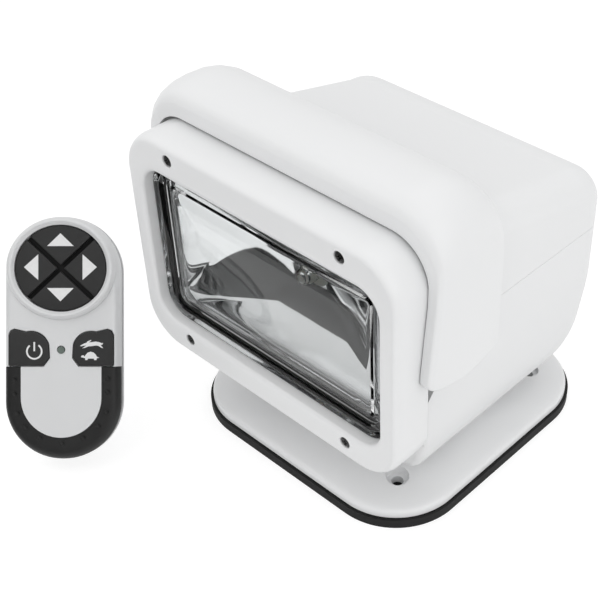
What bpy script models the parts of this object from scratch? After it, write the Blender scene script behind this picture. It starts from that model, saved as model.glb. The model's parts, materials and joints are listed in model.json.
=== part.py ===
"""Marine searchlight with its wireless handset.

A square foot on a rubber gasket carries a pan housing that turns about Z. The lamp head, a hood with a
bezel, lens, reflector and bulb, tilts on a cross shaft held by the pan housing. The handset stands beside
the light. Metres, +Z up; the light looks along -Y and the origin is the middle of the gasket's underside.
"""
import math

import bmesh
import bpy
from mathutils import Matrix, Vector

MM = 0.001

# Clearances
GAP = 0.3 * MM
RUN_GAP = 0.4 * MM

# Foot and gasket
BASE_SIDE = 150 * MM
BASE_CORNER = 35 * MM
GASKET_THICKNESS = 5 * MM
BASE_INSET = 1.5 * MM
BASE_EDGE = 4.2 * MM
BASE_SLOPE_RISE = 5 * MM
BASE_WALL = 3 * MM
NECK_RADIUS = 48 * MM
NECK_RISE = 5 * MM
HOLE_PITCH = 100 * MM
HOLE_RADIUS = 2.9 * MM
COUNTERBORE_RADIUS = 5.5 * MM
COUNTERBORE_FLOOR = 3.8 * MM
BOSS_RADIUS = 9 * MM
GROMMET_RADIUS = 7 * MM
GROMMET_BORE = 3.2 * MM
GROMMET_OFFSET = 33 * MM

# Pan spindle and drive
SPINDLE_RADIUS = 13.7 * MM
SPINDLE_BORE = 8 * MM
SPINDLE_RISE = 13.5 * MM
GEAR_MODULE = 1 * MM
PAN_TEETH = 52
TILT_TEETH = 48
PINION_TEETH = 12
GEAR_WIDTH = 5 * MM
PINION_WIDTH = 4.2 * MM
WASHER_RADIUS = 38 * MM
WASHER_THICKNESS = 1.2 * MM

# Motors
MOTOR_RADIUS = 11 * MM
MOTOR_LENGTH = 30 * MM
MOTOR_SHAFT = 1.5 * MM
MOTOR_PLATE = 2.4 * MM
PLATE_LEG = 5 * MM

# Receiver board
BOARD_LEFT = 52 * MM
BOARD_WIDTH = 38 * MM
BOARD_SETBACK = 5 * MM

# Pan housing
CHASSIS_MARGIN = 1.4 * MM
CHASSIS_TOP = 87 * MM
CHASSIS_WALL = 2.5 * MM
CHASSIS_REAR = 70 * MM
CHASSIS_CORNER = 16 * MM
SHOULDER_HEIGHT = 55 * MM
SHOULDER_FRONT = 60.5 * MM
CHASSIS_FRONT_CORNER = 4 * MM
FRONT_SILL = 26 * MM
BULKHEAD_TOP = 34 * MM
COVER_RISE = 137.2 * MM
COVER_FRONT = 34 * MM
COVER_SLOPE = 0.234
COVER_CORNER = 13 * MM
COVER_REAR_ROUND = 25 * MM
COVER_WALL = 2.5 * MM

# Tilt axis
TILT_Y = -8 * MM
TILT_RISE = 66.7 * MM
SHAFT_RADIUS = 4.3 * MM
BUSH_RADIUS = 7 * MM
BUSH_LENGTH = 2 * MM
BUSH_COVER = 0.6 * MM
ARM_THICKNESS = 2.7 * MM
ARM_HALF = 9 * MM
ARM_SETBACK = 10 * MM

# Lamp head
HOOD_WALL = 2.5 * MM
HOOD_MOUTH_GAP = 0.4 * MM
HOOD_TOP_GAP = 1 * MM
HOOD_LIP = 6 * MM
HOOD_CORNER = 25 * MM
HOOD_RISE_OVER_LIP = 14.5 * MM
HOOD_LAP = 2.1 * MM
HOOD_LEAN = 4 * MM
HOOD_LOW_RISE = 74.7 * MM
HOOD_LENGTH = 39.5 * MM
HOOD_SIDE_EXTRA = 3.5 * MM
HOOD_SIDE_HEIGHT = 45 * MM
HOOD_TOE = 8 * MM
BEZEL_SIDE = 11.4 * MM
BEZEL_LOW_RISE = 28.7 * MM
BEZEL_RISE = 143.7 * MM
BEZEL_CORNER = 20 * MM
BEZEL_FRONT = 84 * MM
BEZEL_BACK = 63.9 * MM
OPENING_HALF_X = 67.6 * MM
OPENING_HALF_Z = 39 * MM
OPENING_RISE = 85.2 * MM
OPENING_CORNER = 10 * MM
LIP_FRONT = 80.5 * MM
LIP_BACK = 74 * MM
FLANGE_LAP = 4 * MM
SEAL_THICKNESS = 1.3 * MM
LENS_FLANGE = 3 * MM
LENS_BULGE = 6.5 * MM
REFLECTOR_WALL = 1.5 * MM
REFLECTOR_DEPTH = 26 * MM
SOCKET_RADIUS = 8.6 * MM
HOUSING_WALL = 1.6 * MM
BULB_RADIUS = 4.6 * MM
BULB_LENGTH = 17 * MM
SCREW_SPACING = 50 * MM
SCREW_RISE = 51 * MM
SCREW_HEAD = 3 * MM
SCREW_SHANK = 1.4 * MM
SCREW_LENGTH = 8 * MM
SCREW_HEAD_HEIGHT = 1.6 * MM

# Handset
HANDSET_HALF = 27.6 * MM
HANDSET_LENGTH = 115.7 * MM
HANDSET_DEPTH = 15 * MM
HANDSET_FACE = 3 * MM
HANDSET_WALL = 1.8 * MM
HANDSET_EDGE = 4 * MM
PAD_SETBACK = 24.7 * MM
PAD_HALF_X = 21.6 * MM
PAD_HALF_Y = 20.3 * MM
RING_HALF_X = 26 * MM
RING_HALF_Y = 24.4 * MM
RING_HEIGHT = 2.6 * MM
KEY_DEPTH = 2.2 * MM
KEY_PROUD = 1.2 * MM
KEY_TRAVEL = 0.7 * MM
GRIP_SETBACK = 71.7 * MM
LOW_KEY_SETBACK = 53.7 * MM
STANDOFF_SETBACK = 20 * MM
GRIP_INNER_HALF = 19.4 * MM
GRIP_THICKNESS = 1.8 * MM
LED_RADIUS = 1.7 * MM
LED_SETBACK = 63.4 * MM
HANDSET_X = -78.9 * MM
HANDSET_Y = -145.7 * MM
HANDSET_YAW = 42.2
HANDSET_LEAN = 38.7
FLOOR_GAP = 0.3 * MM

# Fineness of the facets
CORNER_STEPS = 5
ROUND_STEPS = 32

WHITE = (0.86, 0.87, 0.88)
BLACK = (0.02, 0.02, 0.022)
GREY = (0.35, 0.36, 0.37)
SILVER = (0.62, 0.63, 0.65)
STEEL = (0.66, 0.67, 0.68)
BRASS = (0.70, 0.52, 0.24)
CHROME = (0.85, 0.86, 0.88)
GLASS = (0.82, 0.88, 0.90)
GREEN = (0.05, 0.25, 0.12)
NYLON = (0.80, 0.79, 0.74)

for old in list(bpy.data.objects):
    bpy.data.objects.remove(old)

PARTS = bpy.data.collections.new("marine_searchlight")
CUTTERS = bpy.data.collections.new("cutters")
for collection in (PARTS, CUTTERS):
    bpy.context.scene.collection.children.link(collection)


def finish(obj, colour, roughness=0.45, metallic=0.0):
    """Gives one sub-part its own Principled material."""
    material = bpy.data.materials.new(obj.name + "_finish")
    material.use_nodes = True
    shader = material.node_tree.nodes["Principled BSDF"]
    shader.inputs["Base Color"].default_value = (*colour, 1)
    shader.inputs["Roughness"].default_value = roughness
    shader.inputs["Metallic"].default_value = metallic
    obj.data.materials.clear()
    obj.data.materials.append(material)
    return obj


def add_mesh(name, bm, collection=None):
    """Turns an edited mesh into a named object with smooth round faces."""
    bmesh.ops.recalc_face_normals(bm, faces=bm.faces)
    mesh = bpy.data.meshes.new(name)
    bm.to_mesh(mesh)
    bm.free()
    mesh.shade_smooth()
    mesh.set_sharp_from_angle(angle=math.radians(35))
    obj = bpy.data.objects.new(name, mesh)
    (collection or PARTS).objects.link(obj)
    return obj


def ring(centre, half, corner, steps=CORNER_STEPS, near_corner=None):
    """A rounded rectangle about a centre, anticlockwise; the corners on its -Y side may differ."""
    widest = min(half) * 0.995
    far = min(corner, widest)
    near = far if near_corner is None else min(near_corner, widest)
    points = []
    for quarter, (side_x, side_y) in enumerate(((1, 1), (-1, 1), (-1, -1), (1, -1))):
        corner = far if side_y > 0 else near
        for step in range(steps + 1):
            angle = math.radians(90 * (quarter + step / steps))
            points.append((centre[0] + side_x * (half[0] - corner) + corner * math.cos(angle),
                           centre[1] + side_y * (half[1] - corner) + corner * math.sin(angle)))
    return points


def circle(centre, radius, steps=ROUND_STEPS):
    """A circle about a centre, anticlockwise, as flat points."""
    return [(centre[0] + radius * math.cos(math.tau * k / steps),
             centre[1] + radius * math.sin(math.tau * k / steps)) for k in range(steps)]


def flat(points, z):
    """Puts flat points at a height z."""
    return [(x, y, z) for x, y in points]


def upright(points, y):
    """Stands flat points up, facing the front, at a depth y."""
    return [(x, y, z) for x, z in points]


def sideways(points, x):
    """Turns flat (y, z) points into a section across X."""
    return [(x, y, z) for y, z in points]


def loft(name, sections, loop=False, collection=None):
    """Joins sections of equally many points; the ends are capped, or joined when it loops."""
    bm = bmesh.new()
    rows = [[bm.verts.new(point) for point in section] for section in sections]
    pairs = list(zip(rows, rows[1:]))
    if loop:
        pairs.append((rows[-1], rows[0]))
    for low, high in pairs:
        count = len(low)
        for k in range(count):
            bm.faces.new((low[k], low[(k + 1) % count], high[(k + 1) % count], high[k]))
    if not loop:
        bm.faces.new(rows[0])
        bm.faces.new(rows[-1])
    return add_mesh(name, bm, collection)


def shell(name, outer, inner):
    """A skin between two grids of points, closed along its four borders."""
    bm = bmesh.new()
    grids = [[[bm.verts.new(point) for point in row] for row in grid] for grid in (outer, inner)]
    rows = len(outer)
    columns = len(outer[0])
    for grid in grids:
        for i in range(rows - 1):
            for j in range(columns - 1):
                bm.faces.new((grid[i][j], grid[i][j + 1], grid[i + 1][j + 1], grid[i + 1][j]))
    a, b = grids
    for i in range(rows - 1):
        for j in (0, columns - 1):
            bm.faces.new((a[i][j], a[i + 1][j], b[i + 1][j], b[i][j]))
    for j in range(columns - 1):
        for i in (0, rows - 1):
            bm.faces.new((a[i][j], a[i][j + 1], b[i][j + 1], b[i][j]))
    return add_mesh(name, bm)


def tube(name, turn, radius, low, high, centre=(0, 0), bore=None, collection=None, steps=ROUND_STEPS):
    """A round bar or sleeve between two stations of the axis that turn stands for."""
    outside = circle(centre, radius, steps)
    if bore is None:
        return loft(name, [turn(outside, low), turn(outside, high)], collection=collection)
    inside = circle(centre, bore, steps)
    return loft(name, [turn(outside, low), turn(outside, high), turn(inside, high), turn(inside, low)],
                loop=True, collection=collection)


def block(name, low, high, collection=None):
    """A box between two corners."""
    bm = bmesh.new()
    bmesh.ops.create_cube(bm, size=1)
    low, high = Vector(low), Vector(high)
    bmesh.ops.scale(bm, vec=high - low, verts=bm.verts)
    bmesh.ops.translate(bm, vec=(low + high) / 2, verts=bm.verts)
    return add_mesh(name, bm, collection)


def combine(target, tool, operation="DIFFERENCE"):
    """Cuts a tool from a part, or joins it on, with an exact boolean."""
    tool.hide_render = True
    tool.display_type = "WIRE"
    for collection in list(tool.users_collection):
        collection.objects.unlink(tool)
    CUTTERS.objects.link(tool)
    change = target.modifiers.new(tool.name, "BOOLEAN")
    change.operation = operation
    change.solver = "EXACT"
    change.object = tool


def gear_outline(teeth, backlash=0.32):
    """A spur gear's outline: four points a tooth, with play between meshing flanks."""
    pitch = teeth * GEAR_MODULE / 2
    root = pitch - 1.2 * GEAR_MODULE
    tip = pitch + 0.8 * GEAR_MODULE
    step = math.tau / teeth
    narrow = 0.5 * step * (0.5 - backlash)
    wide = 0.5 * step * (0.5 + backlash * 0.55)
    points = []
    for tooth in range(teeth):
        middle = tooth * step
        for radius, angle in ((root, middle - wide), (tip, middle - narrow),
                              (tip, middle + narrow), (root, middle + wide)):
            points.append((radius, angle))
    return points


def gear(name, turn, teeth, low, high, centre, bore, phase=0.0):
    """A spur gear between two stations, with a round bore."""
    outline = gear_outline(teeth)
    outside = [(centre[0] + r * math.cos(a + phase), centre[1] + r * math.sin(a + phase)) for r, a in outline]
    inside = [(centre[0] + bore * math.cos(a + phase), centre[1] + bore * math.sin(a + phase))
              for r, a in outline]
    return loft(name, [turn(outside, low), turn(outside, high), turn(inside, high), turn(inside, low)],
                loop=True)


def blend(stations, value):
    """Reads a list of (key, numbers) stations with straight runs between them."""
    for (key_a, a), (key_b, b) in zip(stations, stations[1:]):
        if value <= key_b:
            part = (value - key_a) / (key_b - key_a)
            return [p + (q - p) * part for p, q in zip(a, b)]
    return list(stations[-1][1])


# Widths and lengths that follow from the lens opening and the handset
CHASSIS_HALF = OPENING_HALF_X + FLANGE_LAP + CHASSIS_MARGIN
BEZEL_HALF = OPENING_HALF_X + BEZEL_SIDE
PAD_Y = HANDSET_LENGTH - PAD_SETBACK
LED_Y = HANDSET_LENGTH - LED_SETBACK
GRIP_TOP = HANDSET_LENGTH - GRIP_SETBACK

# Levels from the deck up
HOUSING_LOW = GASKET_THICKNESS + GAP
EDGE_TOP = HOUSING_LOW + BASE_EDGE
SLOPE_TOP = EDGE_TOP + BASE_SLOPE_RISE
NECK_TOP = SLOPE_TOP + NECK_RISE
CHASSIS_LOW = NECK_TOP + WASHER_THICKNESS + 2 * GAP
FLOOR_TOP = CHASSIS_LOW + CHASSIS_WALL
SPINDLE_TOP = NECK_TOP + SPINDLE_RISE
RIM = CHASSIS_LOW + CHASSIS_TOP
COVER_TOP = CHASSIS_LOW + COVER_RISE
TILT_Z = CHASSIS_LOW + TILT_RISE
HOOD_BOTTOM = CHASSIS_LOW + HOOD_LOW_RISE
BEZEL_BOTTOM = CHASSIS_LOW + BEZEL_LOW_RISE
BEZEL_TOP = CHASSIS_LOW + BEZEL_RISE
OPENING_CENTRE = CHASSIS_LOW + OPENING_RISE


def screw_places():
    """The four fixing holes of the foot."""
    half = HOLE_PITCH / 2
    return [(x, y) for x in (-half, half) for y in (-half, half)]


def make_gasket():
    side = BASE_SIDE / 2
    outline = ring((0, 0), (side, side), BASE_CORNER, 8)
    gasket = loft("base_gasket", [flat(outline, 0), flat(outline, GASKET_THICKNESS)])
    for number, place in enumerate(screw_places()):
        hole = tube("gasket_hole_%d" % number, flat, HOLE_RADIUS + GAP, -MM, GASKET_THICKNESS + MM, place)
        combine(gasket, hole)
    cable = tube("gasket_cable_hole", flat, GROMMET_RADIUS + GAP, -MM, GASKET_THICKNESS + MM,
                 (0, GROMMET_OFFSET))
    combine(gasket, cable)
    finish(gasket, BLACK, 0.75)


def foot_sections(inset, low):
    """Sections from the square foot up to the round neck; inset gives the cavity under it."""
    side = BASE_SIDE / 2 - BASE_INSET - inset
    slope = SLOPE_TOP - inset
    neck = NECK_RADIUS - inset
    stations = [
        (side, BASE_CORNER - BASE_INSET - inset, low),
        (side, BASE_CORNER - BASE_INSET - inset, EDGE_TOP - inset),
        (side - MM, BASE_CORNER - BASE_INSET - inset, EDGE_TOP + 0.7 * MM - inset),
        (neck + 8 * MM, neck + 8 * MM, slope),
        (neck + 2.5 * MM, neck + 2.5 * MM, slope + 1.2 * MM),
        (neck, neck, slope + 0.75 * NECK_RISE - inset / 4),
    ]
    if inset == 0:
        stations.append((neck, neck, NECK_TOP))
    return [flat(ring((0, 0), (half, half), corner, 8), z) for half, corner, z in stations]


def make_base_housing():
    housing = loft("base_housing", foot_sections(0, HOUSING_LOW))
    cavity = loft("foot_cavity", foot_sections(BASE_WALL, HOUSING_LOW - MM), collection=CUTTERS)
    combine(housing, cavity)
    combine(housing, tube("spindle", flat, SPINDLE_RADIUS, HOUSING_LOW, SPINDLE_TOP), "UNION")
    for number, place in enumerate(screw_places()):
        boss = tube("boss_%d" % number, flat, BOSS_RADIUS, HOUSING_LOW, EDGE_TOP + MM, place)
        combine(housing, boss, "UNION")
    for number, place in enumerate(screw_places()):
        hole = tube("screw_hole_%d" % number, flat, HOLE_RADIUS, 0, NECK_TOP, place)
        combine(housing, hole)
        seat = tube("counterbore_%d" % number, flat, COUNTERBORE_RADIUS, HOUSING_LOW + COUNTERBORE_FLOOR,
                    NECK_TOP, place)
        combine(housing, seat)
    combine(housing, tube("spindle_bore", flat, SPINDLE_BORE, 0, SPINDLE_TOP + MM))
    finish(housing, WHITE, 0.38)


def make_grommet():
    low = 0.5 * MM
    outer = circle((0, GROMMET_OFFSET), GROMMET_RADIUS)
    inner = circle((0, GROMMET_OFFSET), GROMMET_BORE)
    top = GASKET_THICKNESS + 2.5 * MM
    grommet = loft("cable_grommet", [flat(outer, low), flat(outer, top), flat(inner, top), flat(inner, low)],
                   loop=True)
    finish(grommet, BLACK, 0.7)


def make_washer():
    low = NECK_TOP + GAP
    washer = tube("pan_washer", flat, WASHER_RADIUS, low, low + WASHER_THICKNESS,
                  bore=SPINDLE_RADIUS + 2 * GAP)
    finish(washer, NYLON, 0.5)


PAN_GEAR_LOW = FLOOR_TOP + 1.2 * MM
PAN_CENTRE = (PAN_TEETH + PINION_TEETH) * GEAR_MODULE / 2


def make_pan_gear():
    wheel = gear("pan_gear", flat, PAN_TEETH, PAN_GEAR_LOW, PAN_GEAR_LOW + GEAR_WIDTH, (0, 0),
                 SPINDLE_RADIUS + GAP)
    finish(wheel, BRASS, 0.35, 1.0)


def make_spindle_clip():
    low = PAN_GEAR_LOW + GEAR_WIDTH + GAP
    clip = tube("spindle_clip", flat, SPINDLE_RADIUS + 3 * MM, low, low + 1.5 * MM, bore=SPINDLE_RADIUS + GAP)
    finish(clip, STEEL, 0.3, 1.0)


# Pan housing: stations from its floor to its top rim
def chassis_stations():
    """Height, then half width, front, rear and corner radius."""
    shoulder = CHASSIS_LOW + SHOULDER_HEIGHT
    return [
        (CHASSIS_LOW, (CHASSIS_HALF - 16 * MM, SHOULDER_FRONT - 11.5 * MM, CHASSIS_REAR - 12 * MM,
                       CHASSIS_CORNER - 2 * MM)),
        (CHASSIS_LOW + 7 * MM, (CHASSIS_HALF - 9.5 * MM, SHOULDER_FRONT - 9.5 * MM, CHASSIS_REAR - 7.5 * MM,
                                CHASSIS_CORNER - MM)),
        (CHASSIS_LOW + 24 * MM, (CHASSIS_HALF - 3 * MM, SHOULDER_FRONT - 6 * MM, CHASSIS_REAR - 2.5 * MM,
                                 CHASSIS_CORNER)),
        (shoulder, (CHASSIS_HALF, SHOULDER_FRONT, CHASSIS_REAR, CHASSIS_CORNER)),
        (CHASSIS_LOW + CHASSIS_TOP, (CHASSIS_HALF, SHOULDER_FRONT + 2 * MM, CHASSIS_REAR, CHASSIS_CORNER)),
    ]


def chassis_section(z, inset):
    half, front, rear, corner = blend(chassis_stations(), z)
    middle = (rear - front) / 2
    return flat(ring((0, middle), (half - inset, (rear + front) / 2 - inset), corner - inset,
                     near_corner=CHASSIS_FRONT_CORNER - inset / 2), z)


def make_chassis():
    heights = [z for z, _ in chassis_stations()]
    outside = [chassis_section(z, 0) for z in heights]
    inside = [chassis_section(z, CHASSIS_WALL) for z in reversed(heights[1:])]
    floor = chassis_section(FLOOR_TOP, CHASSIS_WALL)
    chassis = loft("pan_chassis", outside + inside + [floor])
    shoulder = CHASSIS_LOW + SHOULDER_HEIGHT
    front = -SHOULDER_FRONT - 30 * MM
    throat = [(front, shoulder), (-SHOULDER_FRONT + 2.5 * MM, shoulder), (-BULKHEAD_TOP, RIM),
              (-BULKHEAD_TOP, RIM + 9 * MM), (front, RIM + 9 * MM)]
    wide = CHASSIS_HALF + 5 * MM
    combine(chassis, loft("throat", [sideways(throat, -wide), sideways(throat, wide)]))
    slot = CHASSIS_HALF - CHASSIS_WALL - GAP
    combine(chassis, block("front_slot", (-slot, front, CHASSIS_LOW + FRONT_SILL),
                           (slot, -SHOULDER_FRONT + 22 * MM, RIM + 5 * MM)))
    left, right, rear = board_span()
    shelf = CHASSIS_LOW + FRONT_SILL
    combine(chassis, block("board_shelf", (left, rear - 4 * MM, shelf - 3 * MM),
                           (right, CHASSIS_REAR - CHASSIS_WALL - 2 * MM, shelf - GAP)), "UNION")
    combine(chassis, tube("spindle_clearance", flat, SPINDLE_RADIUS + 2 * GAP, CHASSIS_LOW - MM,
                          FLOOR_TOP + MM))
    blind = CHASSIS_HALF - BUSH_COVER
    combine(chassis, tube("bush_seats", sideways, BUSH_RADIUS + GAP, -blind, blind, (TILT_Y, TILT_Z)))
    finish(chassis, WHITE, 0.38)


def arch(half, low, high, corner, steps=5):
    """An upright section with a flat foot and rounded shoulders, as flat (x, z) points."""
    corner = min(corner, 0.6 * (high - low))
    waist = (low + high - corner) / 2
    points = [(half, low), (half, waist)]
    for side in (0, 1):
        for step in range(steps + 1):
            angle = math.radians(90 * (side + step / steps))
            centre = half - corner if side == 0 else corner - half
            points.append((centre + corner * math.cos(angle), high - corner + corner * math.sin(angle)))
    points += [(-half, waist), (-half, low)]
    return points


def cover_top(y):
    """Height of the rear cover's sloping roof."""
    return COVER_TOP - COVER_SLOPE * (y + COVER_FRONT)


def cover_sections(inset, low, front):
    turn_y = CHASSIS_REAR - COVER_REAR_ROUND
    sections = [upright(arch(CHASSIS_HALF - inset, low, cover_top(front) - inset, COVER_CORNER), front)]
    radius = COVER_REAR_ROUND - inset
    corner = CHASSIS_CORNER - inset
    for step in range(7):
        angle = math.radians(90 * step / 6)
        y = turn_y + radius * math.sin(angle)
        top = cover_top(turn_y) - inset - radius * (1 - math.cos(angle))
        past = max(0.0, y - (CHASSIS_REAR - CHASSIS_CORNER)) / corner
        narrow = corner * (1 - math.sqrt(max(0.0, 1 - min(1.0, past) ** 2)))
        sections.append(upright(arch(CHASSIS_HALF - inset - narrow, low, top, COVER_CORNER), y))
    return sections


def make_rear_cover():
    low = RIM + GAP
    cover = loft("rear_cover", cover_sections(0, low, -COVER_FRONT))
    hollow = loft("cover_hollow", cover_sections(COVER_WALL, low - 4 * MM, -COVER_FRONT - 5 * MM),
                  collection=CUTTERS)
    combine(cover, hollow)
    finish(cover, WHITE, 0.38)


PAN_MOTOR_LOW = PAN_GEAR_LOW + GEAR_WIDTH + 2.6 * MM


def make_motor(name, turn, centre, low, high, shaft_low, shaft_high):
    """A can motor with a nose and an output shaft, along the axis that turn stands for."""
    body = tube(name, turn, MOTOR_RADIUS, low, high, centre, steps=24)
    combine(body, tube(name + "_shaft", turn, MOTOR_SHAFT, shaft_low, shaft_high, centre, steps=12), "UNION")
    finish(body, STEEL, 0.35, 1.0)


def make_pan_drive():
    centre = (-PAN_CENTRE, 0)
    low = PAN_GEAR_LOW + (GEAR_WIDTH - PINION_WIDTH) / 2
    phase = math.pi / PINION_TEETH
    pinion = gear("pan_pinion", flat, PINION_TEETH, low, low + PINION_WIDTH, centre, MOTOR_SHAFT + GAP, phase)
    finish(pinion, BRASS, 0.35, 1.0)
    make_motor("pan_motor", flat, centre, PAN_MOTOR_LOW, PAN_MOTOR_LOW + MOTOR_LENGTH, low,
               PAN_MOTOR_LOW + MM)
    top = PAN_MOTOR_LOW - GAP
    reach = MOTOR_RADIUS + 8 * MM
    plate = block("pan_motor_bracket", (-PAN_CENTRE - MOTOR_RADIUS, -reach, top - MOTOR_PLATE / 2),
                  (-PAN_CENTRE + MOTOR_RADIUS, reach, top))
    for side in (-1, 1):
        y = side * (reach - PLATE_LEG / 2)
        leg = block("pan_bracket_leg", (-PAN_CENTRE - PLATE_LEG, y - PLATE_LEG / 2, FLOOR_TOP + GAP),
                    (-PAN_CENTRE + PLATE_LEG, y + PLATE_LEG / 2, top - MOTOR_PLATE / 4))
        combine(plate, leg, "UNION")
    combine(plate, tube("pan_nose_hole", flat, 3 * MM, top - 5 * MM, top + 5 * MM, centre))
    finish(plate, STEEL, 0.4, 1.0)


TILT_CENTRE = TILT_Y + (TILT_TEETH + PINION_TEETH) * GEAR_MODULE / 2
TILT_GEAR_X = 27 * MM


def make_tilt_drive():
    axis = (TILT_Y, TILT_Z)
    wheel = gear("tilt_gear", sideways, TILT_TEETH, TILT_GEAR_X, TILT_GEAR_X + GEAR_WIDTH, axis,
                 SHAFT_RADIUS + GAP)
    finish(wheel, BRASS, 0.35, 1.0)
    centre = (TILT_CENTRE, TILT_Z)
    low = TILT_GEAR_X + (GEAR_WIDTH - PINION_WIDTH) / 2
    phase = math.pi + math.pi / PINION_TEETH
    pinion = gear("tilt_pinion", sideways, PINION_TEETH, low, low + PINION_WIDTH, centre,
                  MOTOR_SHAFT + GAP, phase)
    finish(pinion, BRASS, 0.35, 1.0)
    face = TILT_GEAR_X - 3 * MM
    make_motor("tilt_motor", sideways, centre, face - MOTOR_LENGTH, face, face - MM, low + PINION_WIDTH)
    cradle_top = TILT_Z - MOTOR_RADIUS - GAP
    middle = face - MOTOR_LENGTH / 2
    wide = MOTOR_RADIUS - 2 * MM
    cradle = block("tilt_motor_bracket", (middle - 10 * MM, TILT_CENTRE - wide, cradle_top - 2 * MM),
                   (middle + 10 * MM, TILT_CENTRE + wide, cradle_top + 4 * MM))
    combine(cradle, tube("tilt_motor_seat", sideways, MOTOR_RADIUS + GAP, middle - 20 * MM,
                         middle + 20 * MM, centre, steps=24))
    foot_y = TILT_CENTRE + wide
    post = block("tilt_bracket_post", (middle - 10 * MM, foot_y - MM, CHASSIS_LOW + FRONT_SILL),
                 (middle + 10 * MM, foot_y + 2 * MM, cradle_top + 3 * MM))
    combine(cradle, post, "UNION")
    rear = block("tilt_bracket_foot", (middle - 10 * MM, foot_y + MM, CHASSIS_LOW + FRONT_SILL),
                 (middle + 10 * MM, CHASSIS_REAR - CHASSIS_WALL - 4 * MM,
                  CHASSIS_LOW + FRONT_SILL + 2.4 * MM))
    combine(cradle, rear, "UNION")
    finish(cradle, STEEL, 0.4, 1.0)
    shaft_half = CHASSIS_HALF - BUSH_COVER - GAP
    shaft = tube("tilt_shaft", sideways, SHAFT_RADIUS, -shaft_half, shaft_half, axis)
    finish(shaft, STEEL, 0.25, 1.0)
    for name, side in (("left", -1), ("right", 1)):
        ends = sorted((side * shaft_half, side * (shaft_half - BUSH_LENGTH)))
        bush = tube("tilt_bush_" + name, sideways, BUSH_RADIUS, ends[0], ends[1], axis,
                    bore=SHAFT_RADIUS + RUN_GAP)
        finish(bush, NYLON, 0.5)


def board_span():
    """Left, right and rear of the receiver board."""
    return -BOARD_LEFT, BOARD_WIDTH - BOARD_LEFT, CHASSIS_REAR - CHASSIS_WALL - BOARD_SETBACK


def make_board():
    """The receiver board, upright on a shelf of the chassis."""
    low = CHASSIS_LOW + FRONT_SILL
    left, right, rear = board_span()
    board = block("receiver_board", (left, rear - 1.6 * MM, low), (right, rear, low + 44 * MM))
    chips = ((0.15, 0.12, 12, 9, 6), (0.55, 0.15, 10, 15, 9), (0.2, 0.55, 9, 9, 4), (0.6, 0.65, 12, 8, 5))
    for number, (u, v, wide, tall, deep) in enumerate(chips):
        x = left + u * (right - left)
        z = low + v * 44 * MM
        chip = block("chip_%d" % number, (x, rear - (1.2 + deep) * MM, z),
                     (x + wide * MM, rear - 1.2 * MM, z + tall * MM))
        combine(board, chip, "UNION")
    finish(board, GREEN, 0.5)


# Lamp head
def hood_front(z):
    """Front edge of the hood's side: it laps the bezel, leans forward below and has a rounded toe."""
    low = HOOD_BOTTOM + HOOD_TOE
    high = HOOD_BOTTOM + HOOD_SIDE_HEIGHT
    front = -BEZEL_BACK - HOOD_LAP
    front -= HOOD_LEAN * min(1.0, max(0.0, (high - z) / (high - low)))
    toe = min(1.0, max(0.0, (low - z) / HOOD_TOE))
    return front + 1.4 * HOOD_TOE * (1 - math.sqrt(1 - toe * toe))


def hood_rear(z, top):
    """Rear edge of the hood: upright on the sides, a little further forward on the top."""
    high = HOOD_BOTTOM + HOOD_SIDE_HEIGHT
    part = min(1.0, max(0.0, (z - high) / (top - high)))
    return -BEZEL_BACK - HOOD_LAP + HOOD_LENGTH + HOOD_SIDE_EXTRA * (1 - part)


# Share of the way back, then how far the skin lies in from its widest, across and down, in millimetres
HOOD_OUTER = ((0, 1.6, 7.5), (0.05, 0.8, 4.5), (0.12, 0.3, 2.2), (0.25, 0, 0.5), (0.4, 0.2, 0), (0.6, 1, 0.3),
              (0.75, 1.8, 1.8), (0.9, 2.6, 5), (1, 3.2, 9))
# The same for the inner skin behind the lip, less the wall
HOOD_INNER = ((0.25, 0.4, 1.6), (0.4, 0.2, 0.2), (0.6, 1, 0.5), (0.75, 1.8, 2.1), (0.9, 2.6, 5.6), (1, 3.2, 9.4))


def hood_row(share, across, down):
    """One arch of the hood, its points set back by share between the front and the rear edge."""
    top = BEZEL_TOP + HOOD_TOP_GAP + HOOD_RISE_OVER_LIP
    half = BEZEL_HALF + HOOD_MOUTH_GAP + HOOD_LIP - across
    shoulders = arch(half, HOOD_BOTTOM, top - down, HOOD_CORNER - across, 6)[2:-2]
    spread = (0, 0.012, 0.035, 0.07, 0.13, 0.4, 0.75)
    start = shoulders[0][1]
    edge = [(half, HOOD_BOTTOM + (start - HOOD_BOTTOM) * part) for part in spread]
    outline = edge + shoulders + [(-x, z) for x, z in reversed(edge)]
    row = []
    for x, z in outline:
        front = hood_front(z)
        row.append((x, front + (hood_rear(z, top) - front) * share, z))
    return row


def hood_grid(inner):
    """Points of the hood's outer skin, or of its inner skin with the thick lip in front."""
    if not inner:
        return [hood_row(share, across * MM, down * MM) for share, across, down in HOOD_OUTER]
    lip = [hood_row(share, HOOD_LIP, HOOD_RISE_OVER_LIP) for share in (0, 0.05)]
    lip.append(hood_row(0.12, HOOD_LIP - GAP, HOOD_RISE_OVER_LIP - MM))
    return lip + [hood_row(share, across * MM + HOOD_WALL, down * MM + HOOD_WALL)
                  for share, across, down in HOOD_INNER]


def make_hood():
    hood = shell("hood", hood_grid(False), hood_grid(True))
    finish(hood, WHITE, 0.36)


BEZEL_MIDDLE = (BEZEL_TOP + BEZEL_BOTTOM) / 2
BEZEL_HALF_Z = (BEZEL_TOP - BEZEL_BOTTOM) / 2


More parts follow.
